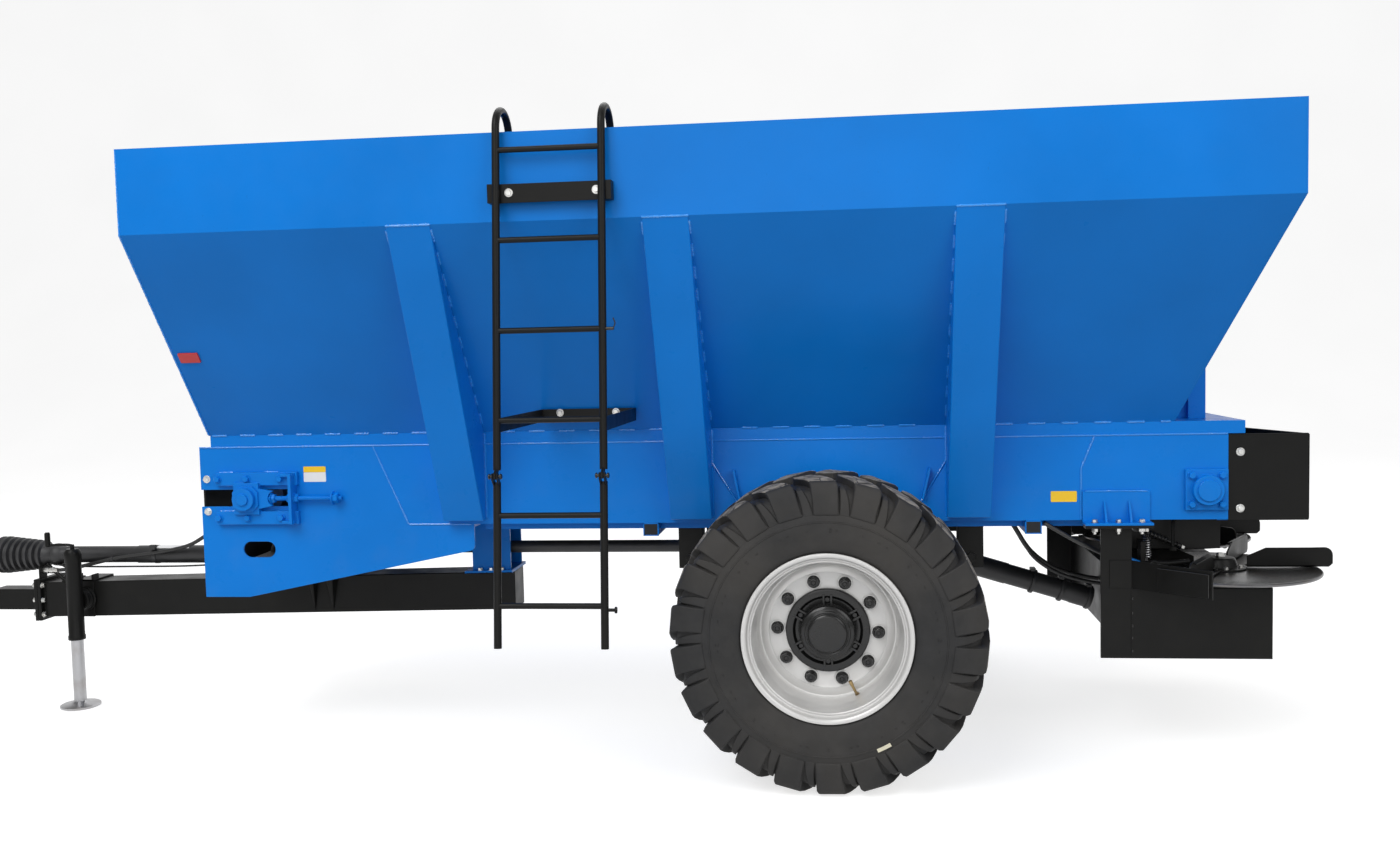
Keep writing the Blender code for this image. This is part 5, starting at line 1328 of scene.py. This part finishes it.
class SpreaderUnit(bpy.types.Operator):
    """Detail of the leg plates, wings, push rods, tie rods, springs and hoses at the back"""
    bl_idname = "spreader.unit"
    bl_label = "Spreading unit"

    def execute(self, context):
        for side_name, side in SIDES.items():
            mesh = bmesh.new()
            tube(mesh, [(1.0465, side * 0.6055, 0.335), (1.0465, side * 0.6055, 0.572)], 0.0016, 8)
            tube(mesh, [(1.052, side * 0.6055, 0.5745), (1.512, side * 0.6055, 0.5745)], 0.0016, 8)
            piece(f"leg_seams_{side_name}", mesh, "black")
            mesh = bmesh.new()
            box(mesh, (1.08, 1.3), (side * 0.59, side * 0.612), (0.577, 0.5815))
            box(mesh, (0.948, 1.04), (side * 0.5945, side * 0.6125), (0.782, 0.788))
            box(mesh, (1.3, 1.516), (side * 0.52, side * 0.604), (0.5775, 0.581))
            piece(f"leg_flanges_{side_name}", mesh, "black", edge=0.001)
            self.wing_panel(side_name, side)
            self.adjuster(side_name, side)
            edge = bmesh.new()
            for z in (0.352, 0.398, 0.44, 0.486, 0.536):
                rod(edge, (1.05, side * 0.6052, z), (1.05, side * 0.6052, z + 0.009), 0.003, 8)
            piece(f"leg_weld_dots_{side_name}", edge, "gloss")
            spring = bmesh.new()
            x, y = 1.118, side * 0.515
            coil = []
            for step in range(12 * 12 + 1):
                angle = 2 * pi * step / 12
                coil.append((x + 0.013 * cos(angle), y + 0.013 * sin(angle), 0.668 + 0.1 * step / 144))
            tube(spring, coil, 0.0022, 6)
            tube(spring, [(x, y, 0.582), (x, y, 0.668)], 0.0042, 10)
            tube(spring, [(x, y, 0.766), (x, y, 0.808)], 0.0042, 10)
            piece(f"hanger_spring_{side_name}", spring, "steel")
        mesh = bmesh.new()
        for x, y in ((1.2, -0.545), (1.128, -0.3), (1.128, 0.3), (1.2, 0.545)):
            profile = [(0, -0.012), (0.0115, -0.012), (0.0115, 0.0), (0.0052, 0.0)]
            profile += thread(28, 0.0036, 0.0052, 0.0064) + [(0.0052, 0.102), (0, 0.102)]
            lathe(mesh, profile, (x, y, 0.712), UP, 10)
        piece("hanger_rods", mesh, "black")
        self.rods()
        self.hoses()
        return {"FINISHED"}

    def wing_panel(self, side_name, side):
        """Raised outer panel of the wing, its top edge polished by wear."""
        out = Vector((-0.685, 0.728))
        start, end = Vector((1.118, 0.687)), Vector((1.252, 0.813))
        corners = [start + out * 0.003, end + out * 0.003, end + out * 0.009, start + out * 0.009]
        mesh = bmesh.new()
        prism(mesh, [(point.x, side * point.y) for point in corners], 0.583, 0.662, "Z")
        piece(f"wing_panel_{side_name}", mesh, "black", edge=0.0012)
        mesh = bmesh.new()
        ends = [(point.x, side * point.y, 0.6625) for point in corners[2:]]
        tube(mesh, ends, 0.0017, 8)
        tube(mesh, [(ends[0][0], ends[0][1], 0.586), ends[0]], 0.0014, 8)
        piece(f"wing_edge_{side_name}", mesh, "gloss")

    def adjuster(self, side_name, side):
        """Ringed push rod that comes down from the bracket above the disc."""
        start = Vector((1.07, side * 0.56, 0.782))
        end = Vector((1.235, side * 0.505, 0.708))
        way = (end - start).normalized()
        length = (end - start).length
        profile = [(0, 0), (0.0065, 0), (0.0065, length * 0.18)]
        for ring in range(6):
            along = length * (0.2 + 0.085 * ring)
            profile += [(0.0075, along), (0.0125, along + 0.0035), (0.0125, along + 0.0075),
                        (0.0075, along + 0.011)]
        profile += [(0.0065, length * 0.75), (0.0065, length - 0.02), (0.011, length - 0.018),
                    (0.011, length), (0, length)]
        mesh = bmesh.new()
        lathe(mesh, profile, start, way, 20)
        rod(mesh, start - Vector((0, 0.012, 0)), start + Vector((0, 0.012, 0)), 0.012, 18)
        piece(f"push_rod_{side_name}", mesh, "gloss")
        mesh = bmesh.new()
        lathe(mesh, [(0, 0), (0.01, 0), (0.01, 0.012), (0.006, 0.015), (0, 0.015)], end, way, 6)
        lathe(mesh, [(0, 0), (0.0085, 0), (0.0085, 0.02), (0, 0.02)],
              (1.105, side * 0.575, 0.772), UP, 6)
        piece(f"push_rod_nuts_{side_name}", mesh, "zinc")

    def rods(self):
        mesh = bmesh.new()
        tube(mesh, [(0.965, -0.56, 0.7), (1.145, -0.552, 0.64), (1.165, -0.552, 0.634)], 0.0065, 12)
        piece("adjuster_rod", mesh, "blue")
        mesh = bmesh.new()
        tube(mesh, [(1.1, -0.552, 0.655), (1.185, -0.552, 0.655), (1.255, -0.552, 0.662)], 0.009, 14)
        lathe(mesh, [(0, 0), (0.018, 0), (0.02, 0.006), (0.02, 0.016), (0.016, 0.02), (0, 0.02)],
              (1.13, -0.562, 0.65), LEFT, 24)
        box(mesh, (1.085, 1.1), (-0.575, -0.52), (0.58, 0.735))
        box(mesh, (1.262, 1.274), (-0.56, 0.56), (0.5815, 0.6))
        piece("adjuster_links", mesh, "black", edge=0.001)

    def hoses(self):
        mesh = bmesh.new()
        for y, lift in ((-0.055, 0.0), (-0.018, 0.012), (0.04, 0.004)):
            route = [(0.7, y - 0.03, 0.752), (0.735, y - 0.03, 0.69), (0.79, y, 0.6 + lift),
                     (0.86, y, 0.545 + lift), (0.93, y, 0.515 + lift), (1.0, y, 0.498 + lift),
                     (1.046, y, 0.49 + lift)]
            tube(mesh, smooth(route, 40), 0.0075, 12)
        for y in (-0.56, -0.535):
            route = [(0.76, y, 0.8), (0.8, y, 0.776), (0.87, y, 0.735), (0.96, y + 0.02, 0.69),
                     (1.05, y + 0.03, 0.65), (1.11, y + 0.03, 0.61), (1.13, y + 0.03, 0.586)]
            tube(mesh, smooth(route, 36), 0.007, 12)
        piece("rear_hoses", mesh, "hose")
        mesh = bmesh.new()
        for x in (0.795, 0.905, 1.01):
            z = DRIVE_Z - (x - 0.3) * 0.2988
            lathe(mesh, [(0.0425, -0.007), (0.047, -0.007), (0.048, -0.004), (0.048, 0.004),
                         (0.047, 0.007), (0.0425, 0.007)], (x, 0, z), (1, 0, -0.2988), 40)
            box(mesh, (x - 0.01, x + 0.01), (-0.03, 0.012), (z + 0.044, z + 0.056))
        piece("shaft_clamps", mesh, "plastic", edge=0.0008)


class Shafts(bpy.types.Operator):
    """Driveline and power take-off guards, with their bells, collars and joints"""
    bl_idname = "spreader.shafts"
    bl_label = "Shaft guards"

    def execute(self, context):
        mesh = bmesh.new()
        slope = atan2(DRIVE_Z - 0.4135, 1.048 - 0.3)
        along = Vector((cos(slope), 0, -sin(slope)))
        start = Vector((-2.2195, 0, DRIVE_Z))
        lathe(mesh, [(0, 0), (0.04, 0), (0.04, 0.02), (0.03, 0.028), (0.025, 0.03), (0.025, 0.8),
                     (0.027, 0.802), (0.027, 0.842), (0.025, 0.844), (0.025, 2.44), (0.031, 2.445),
                     (0.036, 2.46), (0.036, 2.49), (0.042, 2.495), (0.0478, 2.505), (0.0478, 2.53),
                     (0.03, 2.538), (0, 2.538)], start, REAR, 36)
        joint = Vector((0.3, 0, DRIVE_Z)) - along * 0.012
        reach = (1.046 - 0.3) / cos(slope) - 0.002
        profile = [(0, 0), (0.046, 0), (0.048, 0.006)]
        for rib_number in range(5):
            base = 0.008 + rib_number * 0.014
            profile += [(0.048, base), (0.043, base + 0.004), (0.043, base + 0.009), (0.048, base + 0.013)]
        profile += [(0.042, 0.09), (0.042, 0.42), (0.04, 0.424), (0.04, reach - 0.1),
                    (0.042, reach - 0.09), (0.042, reach - 0.012), (0, reach - 0.012)]
        lathe(mesh, profile, joint, along, 36)
        piece("driveline_guard_finished", mesh, "plastic", "root", ("driveline_guard",))
        self.take_off()
        return {"FINISHED"}

    def take_off(self):
        mesh = bmesh.new()
        rear = -2.345
        profile = [(0.0365, rear), (0.044, rear), (0.044, rear - 0.03), (0.04, rear - 0.034),
                   (0.04, rear - 0.075), (0.038, rear - 0.08), (0.038, -2.985), (0.0355, -2.99),
                   (0.0355, -3.33), (0.038, -3.335), (0.048, -3.35), (0.049, -3.362), (0.048, -3.374),
                   (0.044, -3.378), (0.044, -3.4), (0.05, -3.415)]
        for fold in range(7):
            base = -3.42 - fold * 0.0275
            size = 0.058 + 0.003 * fold
            profile += [(size + 0.004, base), (size + 0.0045, base - 0.01), (size - 0.006, base - 0.015),
                        (size - 0.006, base - 0.023)]
        profile += [(0.08, -3.614), (0.08, -3.62), (0.0765, -3.62), (0.07, -3.6), (0.048, -3.43),
                    (0.033, -3.38), (0.033, rear)]
        lathe(mesh, [(radius, x) for radius, x in profile], (0, 0, GUARD_Z), REAR, 48)
        piece("pto_guard_finished", mesh, "plastic", "root", ("pto_guard",))
        mesh = bmesh.new()
        box(mesh, (-2.43, -2.412), (-0.008, 0.008), (0.6495, 0.672))
        lathe(mesh, [(0, 0), (0.0075, 0), (0.0085, 0.003), (0.0085, 0.009), (0.006, 0.012), (0, 0.012)],
              (-2.38, 0, 0.652), UP, 18)
        piece("guard_knob", mesh, "black", edge=0.001)
        mesh = bmesh.new()
        angles = [radians(50 + 80 * step / 8) for step in range(9)]
        outer = [(0.0386 * cos(a), GUARD_Z + 0.0386 * sin(a)) for a in angles]
        inner = [(0.037 * cos(a), GUARD_Z + 0.037 * sin(a)) for a in reversed(angles)]
        prism(mesh, outer + inner, -2.905, -2.745, "X")
        piece("guard_label", mesh, "white")
        mesh = bmesh.new()
        lathe(mesh, [(0.0185, 0), (0.034, 0), (0.036, 0.004), (0.036, 0.04), (0.03, 0.048), (0.03, 0.062),
                     (0, 0.062), (0, 0.045), (0.0185, 0.045)], (-3.75, 0, GUARD_Z), REAR, 36)
        for sign in (-1, 1):
            box(mesh, (-3.7, -3.655), (sign * 0.02, sign * 0.034), (0.59, 0.63))
            box(mesh, (-3.662, -3.61), (-0.02, 0.02), (GUARD_Z + sign * 0.022, GUARD_Z + sign * 0.034))
        rod(mesh, (-3.668, -0.038, GUARD_Z), (-3.668, 0.038, GUARD_Z), 0.0105, 18)
        rod(mesh, (-3.668, 0, 0.572), (-3.668, 0, 0.648), 0.0105, 18)
        rod(mesh, (-3.622, 0, GUARD_Z), (-3.5, 0, GUARD_Z), 0.024, 28)
        rod(mesh, (-3.5, 0, GUARD_Z), (-2.27, 0, GUARD_Z), 0.0199, 28)
        lathe(mesh, [(0, 0), (0.005, 0), (0.0065, 0.004), (0.005, 0.009), (0, 0.01)],
              (-3.728, 0, 0.6455), UP, 12)
        piece("pto_joint", mesh, "steel", "input_shaft", ("pto_shaft",), 0.0012)


class FrontGear(bpy.types.Operator):
    """Drawbar band, jack with its crank, ring, hose and cable at the front"""
    bl_idname = "spreader.front"
    bl_label = "Drawbar gear"

    def execute(self, context):
        self.jack()
        self.bar()
        self.hose()
        return {"FINISHED"}

    def jack(self):
        y = -(0.115 + 0.0003 + 0.032)
        mesh = bmesh.new()
        lathe(mesh, [(0.0258, 0.0), (0.034, 0.0), (0.0345, 0.003), (0.0345, 0.016), (0.032, 0.02),
                     (0.032, 0.33), (0.0345, 0.334), (0.0345, 0.364), (0.032, 0.378), (0.024, 0.388),
                     (0.0, 0.39), (0.0, 0.378), (0.0258, 0.37)], (JACK_X, y, 0.27), UP, 48)
        lathe(mesh, [(0, -0.004), (0.04, -0.004), (0.04, 0.036), (0.0365, 0.04), (0.0365, 0.0425),
                     (0, 0.0425)], (JACK_X, -0.076, 0.43), LEFT, 48)
        piece("jack_tube_finished", mesh, "black", "root", ("jack_tube",))
        mesh = bmesh.new()
        rod(mesh, (JACK_X, y, 0.655), (JACK_X, y, 0.676), 0.0085, 16)
        tube(mesh, smooth([(JACK_X, y, 0.672), (-3.22, y - 0.004, 0.676), (-3.265, y - 0.01, 0.676),
                           (-3.3, y - 0.014, 0.674)], 16), 0.0055, 12)
        lathe(mesh, [(0, 0), (0.009, 0), (0.0115, 0.006), (0.0115, 0.055), (0.009, 0.062), (0, 0.062)],
              (-3.3, y - 0.014, 0.668), UP, 24)
        piece("jack_crank", mesh, "black", edge=0.0006)
        mesh = bmesh.new()
        lathe(mesh, [(0, 0), (0.074, 0), (0.08, 0.003), (0.08, 0.01), (0.076, 0.0125), (0.04, 0.0165),
                     (0.03, 0.024), (0.0249, 0.026), (0.0249, 0.388), (0.0235, 0.39), (0, 0.39)],
              (JACK_X, y, -0.02), UP, 48)
        piece("jack_leg_finished", mesh, "steel", "jack_foot", ("jack_leg",))

    def bar(self):
        mesh = bmesh.new()
        beam = [(-3.4, 0.349), (-1.3, 0.3865), (-1.3, 0.5447), (-3.4, 0.499)]
        prism(mesh, beam, -0.07, 0.07)
        box(mesh, (-3.41, -3.395), (-0.09, 0.09), (0.335, 0.515))
        box(mesh, (-3.41, -3.402), (-0.075, -0.025), (0.505, 0.572))
        for x, wide in ((-2.165, 0.018), (-2.085, 0.027)):
            for side in (-1, 1):
                self.wedge(mesh, x, wide, side)
        piece("drawbar_finished", mesh, "black", "root", ("drawbar",), 0.004, 3)
        mesh = bmesh.new()
        # Black plate under the front guard, seen through the hand holes: painted shade standing in for the
        # dark inside of the frame.
        notch = arc((0.0, GUARD_Z), 0.052, 168, 12, 16)
        outline = [(-0.55, 0.62)] + notch[1:-1] + [(0.55, 0.62), (0.55, 0.765), (-0.55, 0.765)]
        prism(mesh, outline, -2.371, -2.364, "X")
        piece("front_skirt", mesh, "black", edge=0.001)
        mesh = bmesh.new()
        for side in (-1, 1):
            box(mesh, (-3.24, -3.158), (side * 0.07, side * 0.0765), (0.352, 0.512))
        box(mesh, (-3.24, -3.158), (-0.0765, 0.0765), (0.505, 0.512))
        for x in (-3.238, -3.166):
            box(mesh, (x, x + 0.006), (-0.0765, -0.03), (0.51, 0.534))
        lathe(mesh, [(0, 0), (0.052, 0), (0.052, 0.006), (0.0455, 0.0075), (0.0455, 0.018), (0.042, 0.0205),
                     (0.042, 0.026), (0.04, 0.028), (0.04, 0.038), (0, 0.038)],
              (JACK_X, -0.0765, 0.43), LEFT, 40)
        piece("drawbar_band", mesh, "black", edge=0.0014)
        paths = [[(-3.385, y, 0.3505), (-3.385, y, 0.4985)] for y in (-0.0705, 0.0705)]
        paths.append([(-3.385, -0.07, 0.5), (-3.385, 0.07, 0.5)])
        paths.append([(-1.5, -0.1095, 0.541), (-1.3, -0.1095, 0.545)])
        welds("drawbar_welds", paths, "black", "root", 0.8)

    def wedge(self, mesh, x, wide, side):
        """Stiffener that narrows to a point down the drawbar's side."""
        top = drawbar_top(x) + 0.001
        corners = [(x - wide, 0.066, top), (x + wide, 0.066, top), (x + wide * 0.55, 0.112, top),
                   (x - wide * 0.55, 0.112, top), (x, 0.068, top - 0.15), (x, 0.074, top - 0.15)]
        verts = [mesh.verts.new((px, side * py, pz)) for px, py, pz in corners]
        faces = []
        for ring in ((0, 1, 2, 3), (3, 2, 5), (0, 3, 5, 4), (1, 4, 5, 2), (0, 4, 1)):
            faces.append(mesh.faces.new([verts[i] for i in ring]))
        bmesh.ops.recalc_face_normals(mesh, faces=faces)

    def hose(self):
        route = [(-2.3726, -0.2, 0.8), (-2.42, -0.198, 0.796), (-2.53, -0.158, 0.758),
                 (-2.64, -0.092, 0.696), (-2.74, -0.056, 0.652), (-2.88, -0.049, 0.624),
                 (-3.05, -0.05, 0.603), (-3.18, -0.051, 0.576), (-3.27, -0.05, 0.556),
                 (-3.334, -0.05, 0.549)]
        mesh = bmesh.new()
        tube(mesh, smooth(route, 90), 0.0079, 16)
        piece("hydraulic_hose_finished", mesh, "hose", "root", ("hydraulic_hose",))
        mesh = bmesh.new()
        low = cad("hose_coupler")[0]
        end = Vector((-3.334, -0.05, 0.549))
        reach = end.x - low.x
        lathe(mesh, [(0, 0), (0.0125, 0), (0.014, 0.003), (0.014, 0.022), (0.0118, 0.025),
                     (0.0118, 0.03), (0.014, 0.033), (0.014, reach - 0.022), (0.011, reach - 0.018),
                     (0.0105, reach), (0, reach)], (low.x, end.y, end.z), REAR, 28)
        piece("hose_coupler_finished", mesh, "zinc", "root", ("hose_coupler",))
        mesh = bmesh.new()
        lathe(mesh, [(0.0376, -0.007), (0.04, -0.007), (0.04, 0.007), (0.0376, 0.007)],
              (-2.9, 0, GUARD_Z), REAR, 40)
        box(mesh, (-2.912, -2.888), (-0.046, -0.03), (0.636, 0.656))
        lathe(mesh, [(0.0078, -0.005), (0.0105, -0.005), (0.0105, 0.005), (0.0078, 0.005)],
              (-3.08, -0.05, 0.5975), (1, 0, 0.2), 20)
        piece("hose_ties", mesh, "plastic")
        self.rest()

    def rest(self):
        """Slanted rest of the guard on the drawbar, and the thin cable under the guard."""
        mesh = bmesh.new()
        for side in (-1, 1):
            leg = [(-3.392, side * 0.036, 0.572), (-3.34, side * 0.05, 0.535), (-3.296, side * 0.056, 0.5035)]
            tube(mesh, leg, 0.008, 14)
        box(mesh, (-3.31, -3.284), (-0.066, 0.066), (0.499, 0.506))
        piece("guard_rest", mesh, "black", edge=0.0008)
        mesh = bmesh.new()
        route = [(-2.38, -0.13, 0.64), (-2.48, -0.105, 0.61), (-2.6, -0.066, 0.578),
                 (-2.76, -0.048, 0.566), (-3.0, -0.04, 0.563), (-3.18, -0.036, 0.562),
                 (-3.32, -0.03, 0.566), (-3.372, -0.026, 0.576)]
        tube(mesh, smooth(route, 60), 0.0038, 10)
        piece("lighting_cable", mesh, "hose")


class RunningGear(bpy.types.Operator):
    """Leaf springs with their clips, U-bolts and hangers, and the open tube ends"""
    bl_idname = "spreader.running_gear"
    bl_label = "Leaf springs"

    def execute(self, context):
        for side_name, side in SIDES.items():
            middle = side * 0.45
            mesh = bmesh.new()
            for leaf in range(4):
                span = 0.5 - leaf * 0.095
                points, back = [], []
                for step in range(17):
                    x = span * (step / 8 - 1)
                    z = 0.551 + 0.09 * (x / 0.51) ** 2 + 0.0345 - leaf * 0.0088
                    points.append((x, z))
                    back.append((x, z - 0.0078))
                prism(mesh, points + back[::-1], middle - 0.0345, middle + 0.0345)
            piece(f"leaf_springs_{side_name}", mesh, "black", edge=0.001)
            mesh = bmesh.new()
            for x in (-0.062, 0.062):
                route = [(x, middle - 0.045, 0.437), (x, middle - 0.045, 0.6), (x, middle - 0.034, 0.612),
                         (x, middle + 0.034, 0.612), (x, middle + 0.045, 0.6), (x, middle + 0.045, 0.437)]
                tube(mesh, route, 0.0075, 12)
            box(mesh, (-0.082, 0.082), (middle - 0.06, middle + 0.06), (0.4385, 0.45))
            piece(f"spring_bolts_{side_name}", mesh, "black", edge=0.0008)
            nuts = []
            for x in (-0.062, 0.062):
                for y in (-0.045, 0.045):
                    nuts.append(((x, middle + y, 0.4385), DOWN))
            bolts(f"spring_nuts_{side_name}", nuts, "black", across=0.022, height=0.015, stud=0.006)
            pins = []
            for x in (-0.51, 0.51):
                for way in (-1, 1):
                    pins.append(((x, middle + way * 0.04, 0.668), (0, way, 0)))
            bolts(f"spring_pins_{side_name}", pins, "black", across=0.03, height=0.016)
        self.tube_ends()
        return {"FINISHED"}

    def tube_ends(self):
        """Rims, and near-black sheets of painted shade in the bores, where the cross tubes come through the
        side walls.
        """
        rims = bmesh.new()
        shade_sheets = bmesh.new()
        for node in ("cross_tube_front", "cross_tube_rear"):
            low, high = cad(node)
            left, right, foot, top = low.x + 0.004, high.x - 0.004, low.z + 0.004, high.z - 0.004
            for side in (-1, 1):
                end = side * (WALL + 0.0004)
                depth = (end - side * 0.003, end + side * 0.0012)
                for x in ((low.x, left), (right, high.x)):
                    box(rims, x, depth, (low.z, high.z))
                for z in ((low.z, foot), (top, high.z)):
                    box(rims, (low.x, high.x), depth, z)
                # Near-black sheet across the tube's end: painted shade for the inside of the tube.
                box(shade_sheets, (left, right), (end - side * 0.001, end + side * 0.0003), (foot, top))
        piece("cross_tube_rims", rims, "blue", edge=0.0006)
        piece("cross_tube_bores", shade_sheets, "shadow")


class BeltFloor(bpy.types.Operator):
    """Cleats across the belt"""
    bl_idname = "spreader.belt"
    bl_label = "Belt cleats"

    def execute(self, context):
        top = cad("conveyor_belt")[1].z
        ribs = bmesh.new()
        x = -2.15
        while x < 1.22:
            tip = x + 0.14
            outline = [(x, -0.44), (x + 0.012, -0.44), (tip + 0.012, 0), (x + 0.012, 0.44),
                       (x, 0.44), (tip, 0)]
            prism(ribs, outline, top - 0.0005, top + 0.0035, "Z")
            x += 0.17
        piece("belt_cleats", ribs, "belt", edge=0.0006)
        return {"FINISHED"}


class RearDetails(bpy.types.Operator):
    """Handle at the rear gate, and the folded edges of the deflector"""
    bl_idname = "spreader.rear"
    bl_label = "Rear details"

    def execute(self, context):
        mesh = bmesh.new()
        for side in (-1, 1):
            tube(mesh, [(1.385, side * 0.5705, 1.107), (1.64, side * 0.5705, 1.107)], 0.0016, 8)
            tube(mesh, [(1.6435, side * 0.57, 0.812), (1.6435, side * 0.57, 1.104)], 0.0016, 8)
        piece("deflector_edges", mesh, "black")
        mesh = bmesh.new()
        half = [(1.3205, 0.055, 1.27), (1.33, 0.055, 1.262), (1.3345, 0.045, 1.258)]
        route = [(x, -y, z) for x, y, z in half] + half[::-1]
        tube(mesh, route, 0.0045, 12)
        piece("gate_handle", mesh, "black", "gate")
        return {"FINISHED"}


# ---- stage -----------------------------------------------------------------------------------------
class Stage(bpy.types.Operator):
    """Camera, pale floor and soft lights"""
    bl_idname = "spreader.stage"
    bl_label = "Stage"

    def execute(self, context):
        settings = setting("stage")
        camera = bpy.data.objects.new("camera", bpy.data.cameras.new("camera"))
        camera.data.lens = settings.lens
        camera.data.sensor_width = 36
        camera.data.clip_end = 100
        right = Vector((0.99272887, 0.11815847, -0.02297735))
        up = Vector((0.01519663, 0.06633427, 0.99768173))
        back = Vector((0.11940873, -0.99077664, 0.06405633))
        turn = Matrix((right, up, back)).transposed().to_4x4()
        camera.matrix_world = Matrix.Translation(Vector((0.086, -5.068, 1.442)) + DATUM) @ turn
        context.scene.collection.objects.link(camera)
        context.scene.camera = camera
        self.floor()
        self.light("key", (-2.5, -6.0, 7.0), (0.0, 0.0, 0.9), 5.0, settings.key)
        self.light("fill", (5.5, -5.0, 4.2), (0.3, 0.0, 0.8), 4.0, settings.key * 0.3)
        self.light("top", (0.0, 3.4, 7.6), (0.0, 0.0, 1.0), 6.0, settings.key * 0.6)
        self.light("front", (0.2, -7.5, 2.4), (0.0, 0.0, 0.8), 3.6, settings.key * 0.16)
        context.scene.view_settings.view_transform = "Standard"
        world = bpy.data.worlds.new("sky")
        world.use_nodes = True
        world.node_tree.nodes["Background"].inputs["Color"].default_value = (1, 1, 1, 1)
        world.node_tree.nodes["Background"].inputs["Strength"].default_value = settings.fill
        context.scene.world = world
        return {"FINISHED"}

    def floor(self):
        mesh = bmesh.new()
        size = 40.0
        steps = 16
        profile = [(-size, 0.0), (10.0, 0.0)]
        angles = [pi / 2 * i / steps for i in range(1, steps + 1)]
        profile += [(10.0 + 8 * sin(a), 8 - 8 * cos(a)) for a in angles]
        profile += [(18.0, 30.0)]
        rows = []
        for x in (-size, size):
            rows.append([mesh.verts.new((x, y, z)) for y, z in profile])
        for i in range(len(profile) - 1):
            mesh.faces.new((rows[0][i], rows[1][i], rows[1][i + 1], rows[0][i + 1]))
        floor = loose_object("floor", mesh)
        floor.data.shade_smooth()
        n = Nodes("pale_floor")
        tone = n.blend(n.ramp(n.noise(0.6, 3), 0, 1, 0.35, 0.65), (0.54, 0.54, 0.54), (0.57, 0.57, 0.57))
        n.link(tone, n.shader.inputs["Base Color"])
        n.shader.inputs["Roughness"].default_value = 0.75
        n.shader.inputs["Specular IOR Level"].default_value = 0.15
        n.shader.inputs["Emission Color"].default_value = (1, 1, 1, 1)
        n.shader.inputs["Emission Strength"].default_value = setting("stage").floor
        n.bump([(n.noise(60, 2), 0.02, 0.001)])
        floor.data.materials.append(n.material)
        floor.visible_diffuse = False

    def light(self, name, place, target, size, power):
        data = bpy.data.lights.new(name, "AREA")
        data.shape = "SQUARE"
        data.size = size
        data.energy = power
        lamp = bpy.data.objects.new(name, data)
        direction = Vector(target) - Vector(place)
        turn = direction.to_track_quat("-Z", "Y").to_matrix().to_4x4()
        lamp.matrix_world = Matrix.Translation(Vector(place)) @ turn
        bpy.context.scene.collection.objects.link(lamp)


# ---- panel, registration and the run ---------------------------------------------------------------
OPERATORS = (Stage, Sheets, WheelTyres, WheelRims, WeldBeads, Fins, Stickers, BoltHeads, TakeUps, Ladder,
             Spinners, SpreaderUnit, Shafts, FrontGear, RunningGear, BeltFloor, RearDetails)


class VIEW3D_PT_spreader(bpy.types.Panel):
    bl_label = "Manure spreader"
    bl_space_type = "VIEW_3D"
    bl_region_type = "UI"
    bl_category = "Spreader"

    def draw(self, context):
        for name in SETTINGS:
            group = getattr(context.scene, name)
            box_area = self.layout.box()
            for key in group.__class__.__annotations__:
                box_area.prop(group, key)
        for operator in OPERATORS:
            self.layout.operator(operator.bl_idname)


def register():
    for cls in (*SETTINGS.values(), *OPERATORS, VIEW3D_PT_spreader):
        bpy.utils.register_class(cls)
    for name, cls in SETTINGS.items():
        setattr(bpy.types.Scene, name, PointerProperty(type=cls))


def unregister():
    for name in SETTINGS:
        delattr(bpy.types.Scene, name)
    for cls in reversed((*SETTINGS.values(), *OPERATORS, VIEW3D_PT_spreader)):
        bpy.utils.unregister_class(cls)


def main():
    register()
    make_finishes()
    for operator in OPERATORS:
        group, name = operator.bl_idname.split(".")
        getattr(getattr(bpy.ops, group), name)()


if __name__ == "__main__":
    main()
